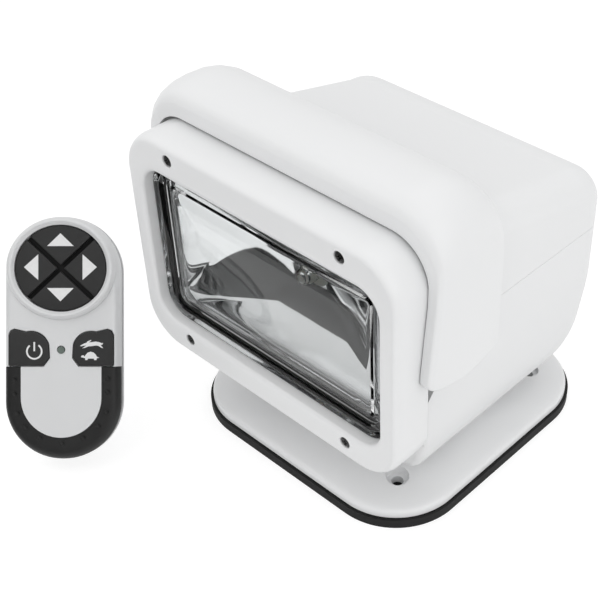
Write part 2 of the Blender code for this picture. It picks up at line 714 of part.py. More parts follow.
def bezel_ring(share, y):
    """A ring part way from the bezel's outer edge to its opening."""
    outer = ring((0, BEZEL_MIDDLE), (BEZEL_HALF, BEZEL_HALF_Z), BEZEL_CORNER)
    inner = ring((0, OPENING_CENTRE), (OPENING_HALF_X, OPENING_HALF_Z), OPENING_CORNER)
    return [(a[0] + (b[0] - a[0]) * share, y, a[1] + (b[1] - a[1]) * share) for a, b in zip(outer, inner)]


def screw_spots():
    """Screws of the bezel: name and (x, z)."""
    high = OPENING_CENTRE + SCREW_RISE
    low = OPENING_CENTRE - OPENING_HALF_Z - 8 * MM
    return (("top_left", -SCREW_SPACING, high), ("top_right", SCREW_SPACING, high),
            ("low_left", -SCREW_SPACING, low), ("low_right", SCREW_SPACING, low))


def make_bezel():
    profile = ((0.0, -BEZEL_BACK), (0.0, -BEZEL_FRONT + 6 * MM), (0.05, -BEZEL_FRONT + 3 * MM),
               (0.14, -BEZEL_FRONT + MM), (0.28, -BEZEL_FRONT), (0.55, -BEZEL_FRONT + 0.3 * MM),
               (0.86, -LIP_FRONT - MM), (0.97, -LIP_FRONT), (1.0, -LIP_FRONT + MM), (1.0, -LIP_BACK),
               (0.2, -LIP_BACK), (0.17, -BEZEL_BACK))
    bezel = loft("bezel", [bezel_ring(share, y) for share, y in profile], loop=True)
    for name, x, z in screw_spots():
        seat = tube("seat_" + name, upright, SCREW_HEAD + GAP, -BEZEL_FRONT - 2 * MM,
                    -BEZEL_FRONT + SCREW_HEAD_HEIGHT + 0.6 * MM, (x, z), steps=16)
        combine(bezel, seat)
        way = tube("way_" + name, upright, SCREW_SHANK + GAP, -BEZEL_FRONT - 2 * MM, -LIP_BACK + 2 * MM,
                   (x, z), steps=12)
        combine(bezel, way)
    finish(bezel, WHITE, 0.34)


def make_bezel_screws():
    face = -BEZEL_FRONT + 0.3 * MM
    for name, x, z in screw_spots():
        screw = tube("bezel_screw_" + name, upright, SCREW_HEAD, face, face + SCREW_HEAD_HEIGHT, (x, z),
                     steps=16)
        shank = tube("shank_" + name, upright, SCREW_SHANK, face + SCREW_HEAD_HEIGHT / 2,
                     face + SCREW_LENGTH, (x, z), steps=12)
        combine(screw, shank, "UNION")
        slot = block("slot_" + name, (x - 0.45 * MM, face - MM, z - 2 * MM),
                     (x + 0.45 * MM, face + 0.9 * MM, z + 2 * MM))
        combine(screw, slot)
        finish(screw, STEEL, 0.3, 1.0)


def window(shrink, y, corner=None):
    """A ring parallel to the lens opening, smaller by shrink."""
    corner = OPENING_CORNER - shrink if corner is None else corner
    return upright(ring((0, OPENING_CENTRE), (OPENING_HALF_X - shrink, OPENING_HALF_Z - shrink),
                        max(corner, 2 * MM)), y)


SEAL_FRONT = -LIP_BACK + GAP
LENS_FRONT = SEAL_FRONT + SEAL_THICKNESS + GAP
LENS_BACK = LENS_FRONT + LENS_FLANGE
REFLECTOR_FRONT = LENS_BACK + GAP
REFLECTOR_FLANGE = REFLECTOR_FRONT + REFLECTOR_WALL
LAMP_FRONT = REFLECTOR_FLANGE + GAP


def make_lens_seal():
    back = SEAL_FRONT + SEAL_THICKNESS
    sections = [window(-FLANGE_LAP, SEAL_FRONT), window(-FLANGE_LAP, back), window(-0.6 * MM, back),
                window(-0.6 * MM, SEAL_FRONT)]
    finish(loft("lens_seal", sections, loop=True), BLACK, 0.7)


def make_lens():
    """Clear lens: a flange, three stepped rims and a gently domed front."""
    face = LENS_FRONT - LENS_BULGE
    sections = [
        window(24 * MM, face), window(14 * MM, face + 0.5 * MM), window(8 * MM, face + 1.1 * MM),
        window(7 * MM, face + 2.2 * MM), window(4.4 * MM, face + 2.5 * MM), window(3.6 * MM, face + 3.5 * MM),
        window(1.2 * MM, face + 3.8 * MM), window(0.7 * MM, LENS_FRONT),
        window(-FLANGE_LAP + MM, LENS_FRONT), window(-FLANGE_LAP + MM, LENS_BACK),
        window(3 * MM, LENS_BACK), window(8 * MM, face + 4.2 * MM), window(24 * MM, face + 3 * MM),
    ]
    finish(loft("lens", sections), GLASS, 0.05)


def bowl(inset, lift, front):
    """Sections of the reflector's bowl from its mouth to its neck."""
    depth = REFLECTOR_DEPTH
    neck = SOCKET_RADIUS + 0.4 * MM
    stations = ((0.0, 0.0), (0.04, 0.2), (0.14, 0.46), (0.36, 0.74), (0.68, 0.93), (1.0, 1.0))
    sections = []
    for inward, deep in stations:
        half_x = (OPENING_HALF_X - MM) * (1 - inward) + neck * inward + inset
        half_z = (OPENING_HALF_Z - MM) * (1 - inward) + neck * inward + inset
        corner = OPENING_CORNER + (neck - OPENING_CORNER) * inward + inset
        corner = corner + 14 * MM * math.sin(math.pi * inward)
        sections.append(upright(ring((0, OPENING_CENTRE), (half_x, half_z), corner),
                                front + lift + depth * deep))
    return sections


def make_reflector():
    inside = bowl(0, 0, REFLECTOR_FRONT)
    outside = bowl(REFLECTOR_WALL, REFLECTOR_WALL, REFLECTOR_FRONT)
    flange = [window(-FLANGE_LAP, REFLECTOR_FLANGE), window(-FLANGE_LAP, REFLECTOR_FRONT)]
    sections = inside + list(reversed(outside[1:])) + [window(-0.8 * MM, REFLECTOR_FLANGE)] + flange
    finish(loft("reflector", sections, loop=True), CHROME, 0.08, 1.0)


def make_lamp_housing():
    """The sealed back of the lamp, a bowl outside the reflector."""
    clear = REFLECTOR_WALL + 0.8 * MM
    inside = bowl(clear, clear, REFLECTOR_FRONT)
    outside = bowl(clear + HOUSING_WALL, clear + HOUSING_WALL, REFLECTOR_FRONT)
    flange_back = LAMP_FRONT + HOUSING_WALL
    sections = [window(-FLANGE_LAP, flange_back), window(-FLANGE_LAP, LAMP_FRONT),
                window(-clear, LAMP_FRONT)]
    sections += inside[1:] + list(reversed(outside[1:])) + [window(-clear - HOUSING_WALL, flange_back)]
    finish(loft("lamp_housing", sections, loop=True), GREY, 0.5)


BOWL_BACK = REFLECTOR_FRONT + REFLECTOR_DEPTH + 2 * REFLECTOR_WALL + HOUSING_WALL + 0.8 * MM


def make_bulb():
    centre = (0, OPENING_CENTRE)
    back = BOWL_BACK + 0.8 * MM
    mouth = REFLECTOR_FRONT + REFLECTOR_DEPTH - 4 * MM
    socket = tube("bulb_socket", upright, SOCKET_RADIUS - GAP, mouth, back, centre, steps=24)
    well = tube("socket_well", upright, BULB_RADIUS, mouth - MM, mouth + 7 * MM, centre, steps=24)
    combine(socket, well)
    finish(socket, NYLON, 0.5)
    foot = mouth + 6 * MM
    tip = foot - BULB_LENGTH
    radius = BULB_RADIUS - GAP
    stations = ((radius, foot), (radius, tip + 5 * MM), (radius * 0.92, tip + 3 * MM),
                (radius * 0.7, tip + 1.3 * MM), (radius * 0.35, tip + 0.3 * MM), (radius * 0.12, tip))
    finish(loft("bulb", [upright(circle(centre, r, 24), y) for r, y in stations]), GLASS, 0.03)


def make_arms():
    """Two side arms that carry the lamp on the cross shaft."""
    inside = CHASSIS_HALF - CHASSIS_WALL - 1.3 * MM
    front = LAMP_FRONT + ARM_SETBACK
    points = [(front, TILT_Z - ARM_HALF), (front, TILT_Z + ARM_HALF + 6 * MM)]
    for step in range(9):
        angle = math.radians(90 - 180 * step / 8)
        points.append((TILT_Y + ARM_HALF * math.cos(angle), TILT_Z + ARM_HALF * math.sin(angle)))
    for name, side in (("left", -1), ("right", 1)):
        ends = sorted((side * inside, side * (inside - ARM_THICKNESS)))
        arm = loft("tilt_arm_" + name, [sideways(points, x) for x in ends])
        hole = tube("arm_bore_" + name, sideways, SHAFT_RADIUS + GAP, ends[0] - MM, ends[1] + MM,
                    (TILT_Y, TILT_Z))
        combine(arm, hole)
        finish(arm, STEEL, 0.4, 1.0)


# Handset, modelled flat: x across, y along its length, z out of its face
def capsule(inset):
    """The handset's outline, smaller by inset."""
    return ring((0, HANDSET_LENGTH / 2), (HANDSET_HALF - inset, HANDSET_LENGTH / 2 - inset),
                HANDSET_HALF - inset - 0.4 * MM, 7)


def oval(centre_y, half_x, half_y, steps=40):
    return [(half_x * math.cos(math.tau * k / steps), centre_y + half_y * math.sin(math.tau * k / steps))
            for k in range(steps)]


def key_outline(shrink):
    """Right lower key: straight top and outside, a scooped inner corner."""
    high = HANDSET_LENGTH - LOW_KEY_SETBACK - shrink
    low = GRIP_TOP + 0.6 * MM + shrink
    left = 5.6 * MM + shrink
    right = HANDSET_HALF - HANDSET_EDGE + 1.2 * MM - shrink
    points = [(left + 3 * MM, low), (right, low), (right, high - 3 * MM), (right - 3 * MM, high)]
    for step in range(5):
        angle = math.radians(75 + 90 * step / 4)
        points.append((left + 9 * MM + 9 * MM * math.cos(angle), low + 8 * MM + (high - low - 9 * MM)
                       * math.sin(angle)))
    points.append((left, low + 4 * MM))
    return points


def mirrored(points):
    return [(-x, y) for x, y in reversed(points)]


def quadrant(middle_angle, shrink):
    """One of the four direction keys: a quarter of the pad between the crossing gaps."""
    points = []
    open_half = math.radians(45)
    gap = 1.1 * MM + shrink
    start = gap / math.sin(math.radians(45))
    middle = math.radians(middle_angle)
    points.append((start * math.cos(middle), start * math.sin(middle)))
    outer_x = PAD_HALF_X - shrink
    outer_y = PAD_HALF_Y - shrink
    side = math.asin(min(0.9, gap / outer_y))
    for step in range(9):
        angle = middle - open_half + side + (2 * open_half - 2 * side) * step / 8
        points.append((outer_x * math.cos(angle), outer_y * math.sin(angle)))
    return [(x, PAD_Y + y) for x, y in points]


FACE = HANDSET_FACE


def make_handset():
    parts = []
    parting = -HANDSET_DEPTH * 0.42
    rim = ((HANDSET_EDGE + 2 * MM, 0.0), (1.2 * MM, 2 * MM - HANDSET_DEPTH * 0.12), (0.0, -HANDSET_DEPTH * 0.3))
    shape = [flat(capsule(inset), FACE + z) for inset, z in rim]
    shape.append(flat(capsule(0), parting + GAP))
    shape += [flat(capsule(HANDSET_WALL), parting + GAP),
              flat(capsule(HANDSET_WALL + 1.2 * MM), FACE - HANDSET_WALL - KEY_DEPTH)]
    front = loft("handset_front", shape)
    pad = oval(PAD_Y, PAD_HALF_X + RUN_GAP, PAD_HALF_Y + RUN_GAP)
    combine(front, loft("pad_pocket", [flat(pad, FACE - KEY_DEPTH), flat(pad, FACE + 9 * MM)]))
    for name, turn in (("power", mirrored), ("speed", list)):
        hole = turn(key_outline(-RUN_GAP))
        combine(front, loft(name + "_pocket", [flat(hole, FACE - KEY_DEPTH), flat(hole, FACE + 9 * MM)]))
    combine(front, tube("led_hole", flat, LED_RADIUS + GAP, FACE - 2 * MM, FACE + MM, (0, LED_Y), steps=16))
    outer_cut, inner_cut = grip_outlines(RUN_GAP)
    groove = loft("grip_groove", [flat(outer_cut + inner_cut, FACE - GRIP_THICKNESS),
                                  flat(outer_cut + inner_cut, FACE + 9 * MM)])
    combine(front, groove)
    parts.append(finish(front, SILVER, 0.4, 0.3))

    base = [flat(capsule(inset), z) for inset, z in (
        (5 * MM, -HANDSET_DEPTH), (1.8 * MM, -HANDSET_DEPTH + 2 * MM), (0.3 * MM, -HANDSET_DEPTH * 0.62),
        (0.0, parting))]
    base += [flat(capsule(HANDSET_WALL), parting), flat(capsule(HANDSET_WALL + 2 * MM),
                                                        -HANDSET_DEPTH + 2.5 * MM)]
    parts.append(finish(loft("handset_back", base), SILVER, 0.45, 0.2))

    outside = oval(PAD_Y, RING_HALF_X, RING_HALF_Y)
    crest_a = oval(PAD_Y, RING_HALF_X - 0.8 * MM, RING_HALF_Y - 0.8 * MM)
    crest_b = oval(PAD_Y, RING_HALF_X - 2.4 * MM, RING_HALF_Y - 2.2 * MM)
    inside = oval(PAD_Y, PAD_HALF_X + RUN_GAP, PAD_HALF_Y + RUN_GAP)
    low = FACE + GAP
    sections = [flat(outside, low), flat(crest_a, low + 0.7 * RING_HEIGHT), flat(crest_b, low + RING_HEIGHT),
                flat(inside, low + 0.4 * RING_HEIGHT), flat(inside, low)]
    parts.append(finish(loft("handset_ring", sections, loop=True), SILVER, 0.3, 0.2))

    grip_outer, grip_inner = grip_outlines(0)
    grip = grip_outer + grip_inner
    parts.append(finish(loft("handset_grip", [flat(grip, FACE - GRIP_THICKNESS + GAP), flat(grip, FACE)]),
                        BLACK, 0.8))
    key_low = FACE - KEY_DEPTH + KEY_TRAVEL + GAP
    for name, angle in (("key_right", 0), ("key_up", 90), ("key_left", 180), ("key_down", 270)):
        sections = [flat(quadrant(angle, 0), key_low), flat(quadrant(angle, 0), FACE + KEY_PROUD - 0.5 * MM),
                    flat(quadrant(angle, 0.6 * MM), FACE + KEY_PROUD)]
        parts.append(finish(loft(name, sections), BLACK, 0.6))
    for name, turn in (("key_power", mirrored), ("key_speed", list)):
        sections = [flat(turn(key_outline(0)), key_low), flat(turn(key_outline(0)), FACE + 0.3 * MM),
                    flat(turn(key_outline(0.7 * MM)), FACE + 0.8 * MM)]
        parts.append(finish(loft(name, sections), BLACK, 0.6))
    led = tube("handset_led", flat, LED_RADIUS, FACE - 1.6 * MM, FACE + 0.5 * MM, (0, LED_Y), steps=16)
    parts.append(finish(led, (0.1, 0.35, 0.15), 0.2))
    board_low = -HANDSET_DEPTH + 2.5 * MM + GAP
    board = flat(capsule(HANDSET_WALL + 3.5 * MM), board_low + 3.6 * MM)
    board_top = flat(capsule(HANDSET_WALL + 3.5 * MM), board_low + 4.8 * MM)
    keypad = loft("keypad_board", [board, board_top])
    for number, y in enumerate((STANDOFF_SETBACK, HANDSET_LENGTH - STANDOFF_SETBACK)):
        combine(keypad, block("standoff_%d" % number, (-15 * MM, y - 2 * MM, board_low),
                              (-11 * MM, y + 2 * MM, board_low + 4 * MM)), "UNION")
    parts.append(finish(keypad, GREEN, 0.5))
    cell = tube("battery_cell", flat, 10 * MM, board_low, board_low + 3.2 * MM, (0, HANDSET_LENGTH / 2), steps=24)
    parts.append(finish(cell, STEEL, 0.3, 1.0))
    place_handset(parts)


def grip_outlines(grow):
    """The rubber grip's outer and inner edges, a U round the handset's lower end."""
    outer = []
    inner = []
    inset = 2.2 * MM - grow
    radius = HANDSET_HALF - inset
    inner_radius = GRIP_INNER_HALF - grow
    steps = 16
    centre = HANDSET_HALF
    top = GRIP_TOP + grow
    outer.append((radius, top))
    for step in range(steps + 1):
        angle = -math.pi * step / steps
        outer.append((radius * math.cos(angle), centre + radius * math.sin(angle)))
    outer.append((-radius, top))
    inner.append((-inner_radius, top))
    for step in range(steps + 1):
        angle = -math.pi + math.pi * step / steps
        inner.append((inner_radius * math.cos(angle), centre + 2 * MM + inner_radius * math.sin(angle)))
    inner.append((inner_radius, top))
    return outer, inner


def place_handset(parts):
    """Stands the handset on the floor beside the light, leaning back and turned to the front right."""
    yaw = math.radians(HANDSET_YAW)
    lean = math.radians(HANDSET_LEAN)
    turn = Matrix.Rotation(yaw, 4, "Z") @ Matrix.Rotation(math.radians(90) - lean, 4, "X")
    bpy.context.view_layer.update()
    lowest = min((turn @ vertex.co).z for part in parts for vertex in part.data.vertices)
    holder = bpy.data.objects.new("handset_place", None)
    PARTS.objects.link(holder)
    holder.matrix_world = Matrix.Translation((HANDSET_X, HANDSET_Y, FLOOR_GAP - lowest)) @ turn
    tools = {m.object for part in parts for m in part.modifiers if m.type == "BOOLEAN"}
    for obj in parts + sorted(tools, key=lambda o: o.name):
        obj.parent = holder


make_gasket()
make_base_housing()
make_grommet()
make_washer()
make_pan_gear()
make_spindle_clip()
make_chassis()
make_rear_cover()
make_pan_drive()
make_tilt_drive()
make_board()
make_hood()
make_bezel()
make_bezel_screws()
make_lens_seal()
make_lens()
make_reflector()
make_lamp_housing()
make_bulb()
make_arms()
make_handset()
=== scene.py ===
# %% [markdown]
# # A marine searchlight and its handset
# The frame holds the real sizes and joints of the light. This lesson dresses it: each visible shell is
# modelled again with finer curves and softened edges in exactly the same place, and each piece gets a
# finish made only of procedural textures. Every cell makes one thing and says what it made.

# %% The frame
import json
import math

import bmesh
import bpy
from mathutils import Matrix, Vector


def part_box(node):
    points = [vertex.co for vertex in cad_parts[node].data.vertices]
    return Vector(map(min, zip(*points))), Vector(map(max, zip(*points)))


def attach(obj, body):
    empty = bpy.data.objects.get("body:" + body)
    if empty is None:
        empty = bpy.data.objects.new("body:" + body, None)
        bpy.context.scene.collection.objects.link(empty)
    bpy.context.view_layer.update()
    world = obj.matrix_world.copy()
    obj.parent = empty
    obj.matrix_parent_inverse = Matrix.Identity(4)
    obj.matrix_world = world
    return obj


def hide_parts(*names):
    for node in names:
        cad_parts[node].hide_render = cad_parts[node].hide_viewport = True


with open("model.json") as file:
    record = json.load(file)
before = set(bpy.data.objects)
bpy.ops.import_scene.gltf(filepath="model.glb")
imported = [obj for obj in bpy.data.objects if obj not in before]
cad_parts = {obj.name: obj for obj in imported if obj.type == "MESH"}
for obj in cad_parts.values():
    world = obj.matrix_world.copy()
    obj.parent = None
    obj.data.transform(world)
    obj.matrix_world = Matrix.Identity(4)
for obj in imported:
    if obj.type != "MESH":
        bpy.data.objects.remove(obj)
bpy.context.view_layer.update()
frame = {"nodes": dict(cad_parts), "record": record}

MM = 0.001

# %% [markdown]
# ## Paint written as arithmetic
# A finish is a small sum: a base tone, plus a little unevenness, plus a fine grain. The class below wraps
# one socket of a material so that such a sum can be written as an ordinary expression, also with the
# number first, as in `1 - mask`. One method makes every other node from its type, its settings and its
# inputs, so no finish needs wiring by hand.

# %% Values and paints
class Value:
    """One socket of a material, ready for arithmetic."""

    def __init__(self, paint, socket):
        self.paint = paint
        self.socket = socket

    def _sum(self, operation, first, second):
        return self.paint.make("ShaderNodeMath", {"operation": operation}, {0: first, 1: second})

    def __add__(self, other):
        return self._sum("ADD", self, other)

    def __radd__(self, other):
        return self._sum("ADD", other, self)

    def __sub__(self, other):
        return self._sum("SUBTRACT", self, other)

    def __rsub__(self, other):
        return self._sum("SUBTRACT", other, self)

    def __mul__(self, other):
        return self._sum("MULTIPLY", self, other)

    def __rmul__(self, other):
        return self._sum("MULTIPLY", other, self)

    def between(self, low, high):
        """0 below low, 1 above high and a smooth rise between them."""
        return self.paint.make("ShaderNodeMapRange", {"interpolation_type": "SMOOTHSTEP"},
                               {"Value": self, "From Min": low, "From Max": high})


class Paint:
    """A material built round one Principled shader; keywords set the constants on its sockets."""

    def __init__(self, name, **constants):
        self.material = bpy.data.materials.new(name)
        self.material.use_nodes = True
        self.nodes = self.material.node_tree.nodes
        self.links = self.material.node_tree.links
        self.shader = self.nodes["Principled BSDF"]
        for socket, value in constants.items():
            self.set(socket.replace("_", " "), value)
        self.place = self.make("ShaderNodeTexCoord", {}, {}, "Object")

    def make(self, kind, settings=None, inputs=None, output=0):
        """A node of any kind: its settings come first, then its inputs by name or number."""
        node = self.nodes.new(kind)
        for setting, value in (settings or {}).items():
            setattr(node, setting, value)
        for key, value in (inputs or {}).items():
            self.feed(node.inputs[key], value)
        return Value(self, node.outputs[output])

    def feed(self, socket, value):
        if isinstance(value, Value):
            self.links.new(value.socket, socket)
        else:
            socket.default_value = value

    def set(self, socket, value):
        """Gives one socket of the shader a number, a colour or a made value."""
        self.feed(self.shader.inputs[socket], value)
        return self

    def noise(self, scale, detail=3.0, stretch=None):
        """Soft noise from 0 to 1, in features per metre; stretch draws it out along an axis."""
        place = self.place
        if stretch:
            place = self.make("ShaderNodeVectorMath", {"operation": "MULTIPLY"}, {0: place, 1: stretch})
        return self.make("ShaderNodeTexNoise", {}, {"Vector": place, "Scale": scale, "Detail": detail})

    def cells(self, scale):
        """Distance to the nearest of many scattered points."""
        return self.make("ShaderNodeTexVoronoi", {}, {"Vector": self.place, "Scale": scale})

    def mix(self, amount, first, second):
        """A colour part way between two colours."""
        return self.make("ShaderNodeMix", {"data_type": "RGBA"},
                         {0: amount, 6: first, 7: second}, 2)

    def relief(self, height, depth, strength=1.0):
        """Raises the surface by depth metres where height is 1."""
        bump = self.make("ShaderNodeBump", {}, {"Height": height, "Distance": depth, "Strength": strength})
        return self.set("Normal", bump)


def grey(value, blue=0.0):
    return (value, value + blue / 2, value + blue, 1)


print("paint helpers ready")

# %% [markdown]
# ## The finishes
# White housing: moulded plastic with a smooth, slightly glossy skin. The tone drifts a little over a
# hand's width, and the gloss breaks up over a few millimetres because a moulded skin is never quite flat.
# A clear coat isn't needed: one sharp highlight from the plastic itself is what the eye expects.

# %% White housing
white = Paint("white_housing", IOR=1.49)
drift = white.noise(9.0, 2.0)
skin = white.noise(700.0, 2.0)
white.set("Base Color", white.mix(drift, grey(0.775, 0.012), grey(0.815, 0.008)))
white.set("Roughness", 0.27 + 0.08 * white.noise(60.0) + 0.03 * skin)
white.relief(skin, 0.00002, 0.35)
print("made", white.material.name)

# %% [markdown]
# Black rubber has a fine dull grain and picks up pale dust in patches, so its tone and its roughness
# change together. The keys are a harder rubber: closer grain, a little more sheen from fingers.

# %% Rubbers
rubber = Paint("black_rubber", Specular_IOR_Level=0.3)
dust = rubber.noise(55.0, 5.0).between(0.48, 0.8)
rubber.set("Base Color", rubber.mix(dust * 0.5, grey(0.008), grey(0.03)))
rubber.set("Roughness", 0.6 + 0.2 * dust)
rubber.relief(rubber.noise(2500.0, 2.0), 0.00006, 0.5)

grip_rubber = Paint("grip_rubber", Specular_IOR_Level=0.35)
rubbed = grip_rubber.noise(90.0, 3.0)
grip_rubber.set("Base Color", grip_rubber.mix(rubbed, grey(0.012), grey(0.024)))
grip_rubber.set("Roughness", 0.42 + 0.14 * rubbed)
grip_rubber.relief(grip_rubber.noise(2200.0, 2.0), 0.00004, 0.4)

keys = Paint("key_rubber", Specular_IOR_Level=0.35)
worn = keys.noise(120.0, 3.0)
keys.set("Base Color", keys.mix(worn, grey(0.024), grey(0.036)))
keys.set("Roughness", 0.45 + 0.15 * worn)
keys.relief(keys.noise(3000.0, 2.0), 0.00003, 0.4)
print("made", rubber.material.name, grip_rubber.material.name, keys.material.name)

# %% [markdown]
# The handset's shells are sprayed a satin silver: a mostly plastic tone with fine bright flakes, so
# Metallic stays low and the flake pattern lifts it point by point.

# %% Silver paint
silver = Paint("silver_plastic")
flake = silver.cells(4200.0)
cloud = silver.noise(30.0, 2.0)
silver.set("Base Color", silver.mix(cloud, grey(0.70, 0.012), grey(0.76, 0.012)))
silver.set("Metallic", 0.12 + 0.14 * flake)
silver.set("Roughness", 0.36 + 0.1 * cloud + 0.06 * flake)
silver.relief(flake, 0.00001, 0.3)

trim = Paint("ring_plastic")
sheen = trim.noise(80.0, 2.0)
trim.set("Base Color", trim.mix(sheen, grey(0.68, 0.01), grey(0.74, 0.01)))
trim.set("Roughness", 0.26 + 0.1 * sheen)
trim.set("Metallic", 0.1 + 0.1 * sheen)
print("made", silver.material.name, trim.material.name)

# %% [markdown]
# The lens is clear glass: light goes through, so Transmission is a constant 1 and only a trace of
# roughness, from handling, varies. The reflector is vacuum-metallised: nearly a mirror, broken by a slow
# waviness from the moulding below it. The waviness is what makes its reflections bend and break up.

# %% Glass and mirror
glass = Paint("clear_glass", Transmission_Weight=1.0, IOR=1.33)
smear = glass.noise(40.0, 4.0).between(0.5, 0.8)
glass.set("Base Color", glass.mix(smear, (0.985, 0.995, 0.995, 1), (0.95, 0.965, 0.965, 1)))
glass.set("Roughness", 0.004 + 0.02 * smear)

mirror = Paint("bright_reflector", Metallic=1.0)
wave = mirror.noise(38.0, 2.0, (1.0, 1.0, 0.4))
mirror.set("Base Color", mirror.mix(wave, grey(0.76, 0.014), grey(0.84, 0.010)))
mirror.set("Roughness", 0.03 + 0.05 * mirror.noise(25.0))
mirror.relief(wave, 0.0003, 0.5)
print("made", glass.material.name, mirror.material.name)

# %% [markdown]
# Metals and the pieces inside. Plated steel is drawn or pressed, so its grain runs one way; brass gears
# are cut and dull a little; nylon is cloudy; a board is a green skin with faint copper tracks beneath.

# %% Metals and inner pieces
steel = Paint("steel", Metallic=1.0)
drawn = steel.noise(300.0, 3.0, (1.0, 6.0, 1.0))
steel.set("Base Color", steel.mix(drawn, grey(0.52), grey(0.66)))
steel.set("Roughness", 0.24 + 0.18 * drawn)
steel.relief(drawn, 0.00002, 0.4)

dark_steel = Paint("dark_steel", Metallic=1.0)
oiled = dark_steel.noise(900.0, 2.0)
dark_steel.set("Base Color", dark_steel.mix(oiled, grey(0.05), grey(0.12)))
dark_steel.set("Roughness", 0.3 + 0.2 * oiled)

brass = Paint("brass", Metallic=1.0)
dull = brass.noise(150.0, 4.0)
brass.set("Base Color", brass.mix(dull, (0.62, 0.42, 0.16, 1), (0.78, 0.58, 0.27, 1)))
brass.set("Roughness", 0.25 + 0.2 * dull)

nylon = Paint("nylon", Subsurface_Weight=0.1)
milky = nylon.noise(120.0, 2.0)
nylon.set("Base Color", nylon.mix(milky, (0.70, 0.69, 0.63, 1), (0.80, 0.79, 0.74, 1)))
nylon.set("Roughness", 0.45 + 0.1 * milky)

board = Paint("board_green")
track = board.noise(420.0, 1.0, (1.0, 1.0, 0.15)).between(0.5, 0.55)
board.set("Base Color", board.mix(track, (0.02, 0.16, 0.07, 1), (0.05, 0.26, 0.12, 1)))
board.set("Roughness", 0.4 - 0.1 * track)
board.relief(track, 0.00003, 0.5)

housing_grey = Paint("grey_plastic")
grain = housing_grey.noise(900.0, 2.0)
housing_grey.set("Base Color", housing_grey.mix(grain, grey(0.11), grey(0.15)))
housing_grey.set("Roughness", 0.5 + 0.12 * grain)
housing_grey.relief(grain, 0.00003, 0.4)

lamp_green = Paint("led_lens", IOR=1.5)
tint = lamp_green.noise(300.0, 1.0)
lamp_green.set("Base Color", lamp_green.mix(tint, (0.10, 0.13, 0.11, 1), (0.15, 0.18, 0.165, 1)))
lamp_green.set("Roughness", 0.14 + 0.06 * tint)

ink = Paint("key_print")
fade = ink.noise(500.0, 3.0)
ink.set("Base Color", ink.mix(fade, grey(0.70), grey(0.80)))
ink.set("Roughness", 0.5 + 0.1 * fade)
print("made eight more finishes")

# %% [markdown]
# ## Shapes by section
# Every moulded shell here is a stack of outlines joined face by face, which is also how such shells are
# lofted at a drawing board. A rounded rectangle is the outline that most of them share. The finer its
# corners, the rounder the shell; the sizes are the frame's own.

# %% Outlines and lofts
def ring(centre, half, corner, steps=14, near=None):
    """A rounded rectangle, anticlockwise; the corners on its -Y side may have another radius."""
    widest = min(half) * 0.995
    far = min(corner, widest)
    near = far if near is None else min(near, widest)
    points = []
    for quarter, (sx, sy) in enumerate(((1, 1), (-1, 1), (-1, -1), (1, -1))):
        r = far if sy > 0 else near
        for step in range(steps + 1):
            angle = math.radians(90 * (quarter + step / steps))
            points.append((centre[0] + sx * (half[0] - r) + r * math.cos(angle),
                           centre[1] + sy * (half[1] - r) + r * math.sin(angle)))
    return points


def circle(centre, radius, steps=64):
    return [(centre[0] + radius * math.cos(math.tau * k / steps),
             centre[1] + radius * math.sin(math.tau * k / steps)) for k in range(steps)]


def flat(points, z):
    return [(x, y, z) for x, y in points]


def upright(points, y):
    return [(x, y, z) for x, z in points]


def sideways(points, x):
    return [(x, y, z) for y, z in points]


def as_object(name, bm, sharp=40):
    """Closes an edited mesh into an object with smooth faces and crisp real edges."""
    bmesh.ops.recalc_face_normals(bm, faces=bm.faces)
    mesh = bpy.data.meshes.new(name)
    bm.to_mesh(mesh)
    bm.free()
    mesh.shade_smooth()
    mesh.set_sharp_from_angle(angle=math.radians(sharp))
    obj = bpy.data.objects.new(name, mesh)
    bpy.context.scene.collection.objects.link(obj)
    return obj


def loft(name, sections, loop=False, sharp=40):
    """Joins sections of equally many points; the ends are capped, or joined when it loops."""
    bm = bmesh.new()
    rows = [[bm.verts.new(point) for point in section] for section in sections]
    pairs = list(zip(rows, rows[1:]))
    if loop:
        pairs.append((rows[-1], rows[0]))
    for low, high in pairs:
        count = len(low)
        for k in range(count):
            bm.faces.new((low[k], low[(k + 1) % count], high[(k + 1) % count], high[k]))
    if not loop:
        bm.faces.new(rows[0])
        bm.faces.new(rows[-1])
    return as_object(name, bm, sharp)


def cut(target, *tools, how="DIFFERENCE"):
    """Cuts tools out of a shell for good, or keeps what lies inside them, and removes them."""
    for tool in tools:
        change = target.modifiers.new(tool.name, "BOOLEAN")
        change.operation = how
        change.solver = "EXACT"
        change.object = tool
        settle(target)
        bpy.data.objects.remove(tool)


def settle(target):
    """Turns a shell's modifiers into plain mesh."""
    evaluated = target.evaluated_get(bpy.context.evaluated_depsgraph_get())
    mesh = bpy.data.meshes.new_from_object(evaluated)
    target.modifiers.clear()
    target.data = mesh


def soften(target, width, segments=3, angle=50):
    """Rounds the shell's real edges, as a mould does, and keeps its broad faces flat."""
    change = target.modifiers.new("soft_edges", "BEVEL")
    change.width = width
    change.segments = segments
    change.limit_method = "ANGLE"
    change.angle_limit = math.radians(angle)
    change.harden_normals = True
    settle(target)


def dress(obj, paint, body, slot, *nodes):
    """Paints a piece, fixes it to its body and lets it stand for its frame nodes."""
    obj.data.materials.clear()
    obj.data.materials.append(paint.material)
    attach(obj, body)
    if nodes:
        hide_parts(*nodes)
    print("made", obj.name, len(obj.data.polygons), "faces")
    return obj


# %% [markdown]
# ## Levels
# The stack from the deck up: gasket, the foot's upright edge, its slope, the round neck, and the floor of
# the housing that turns. They are the frame's values, so a change there is one line here.

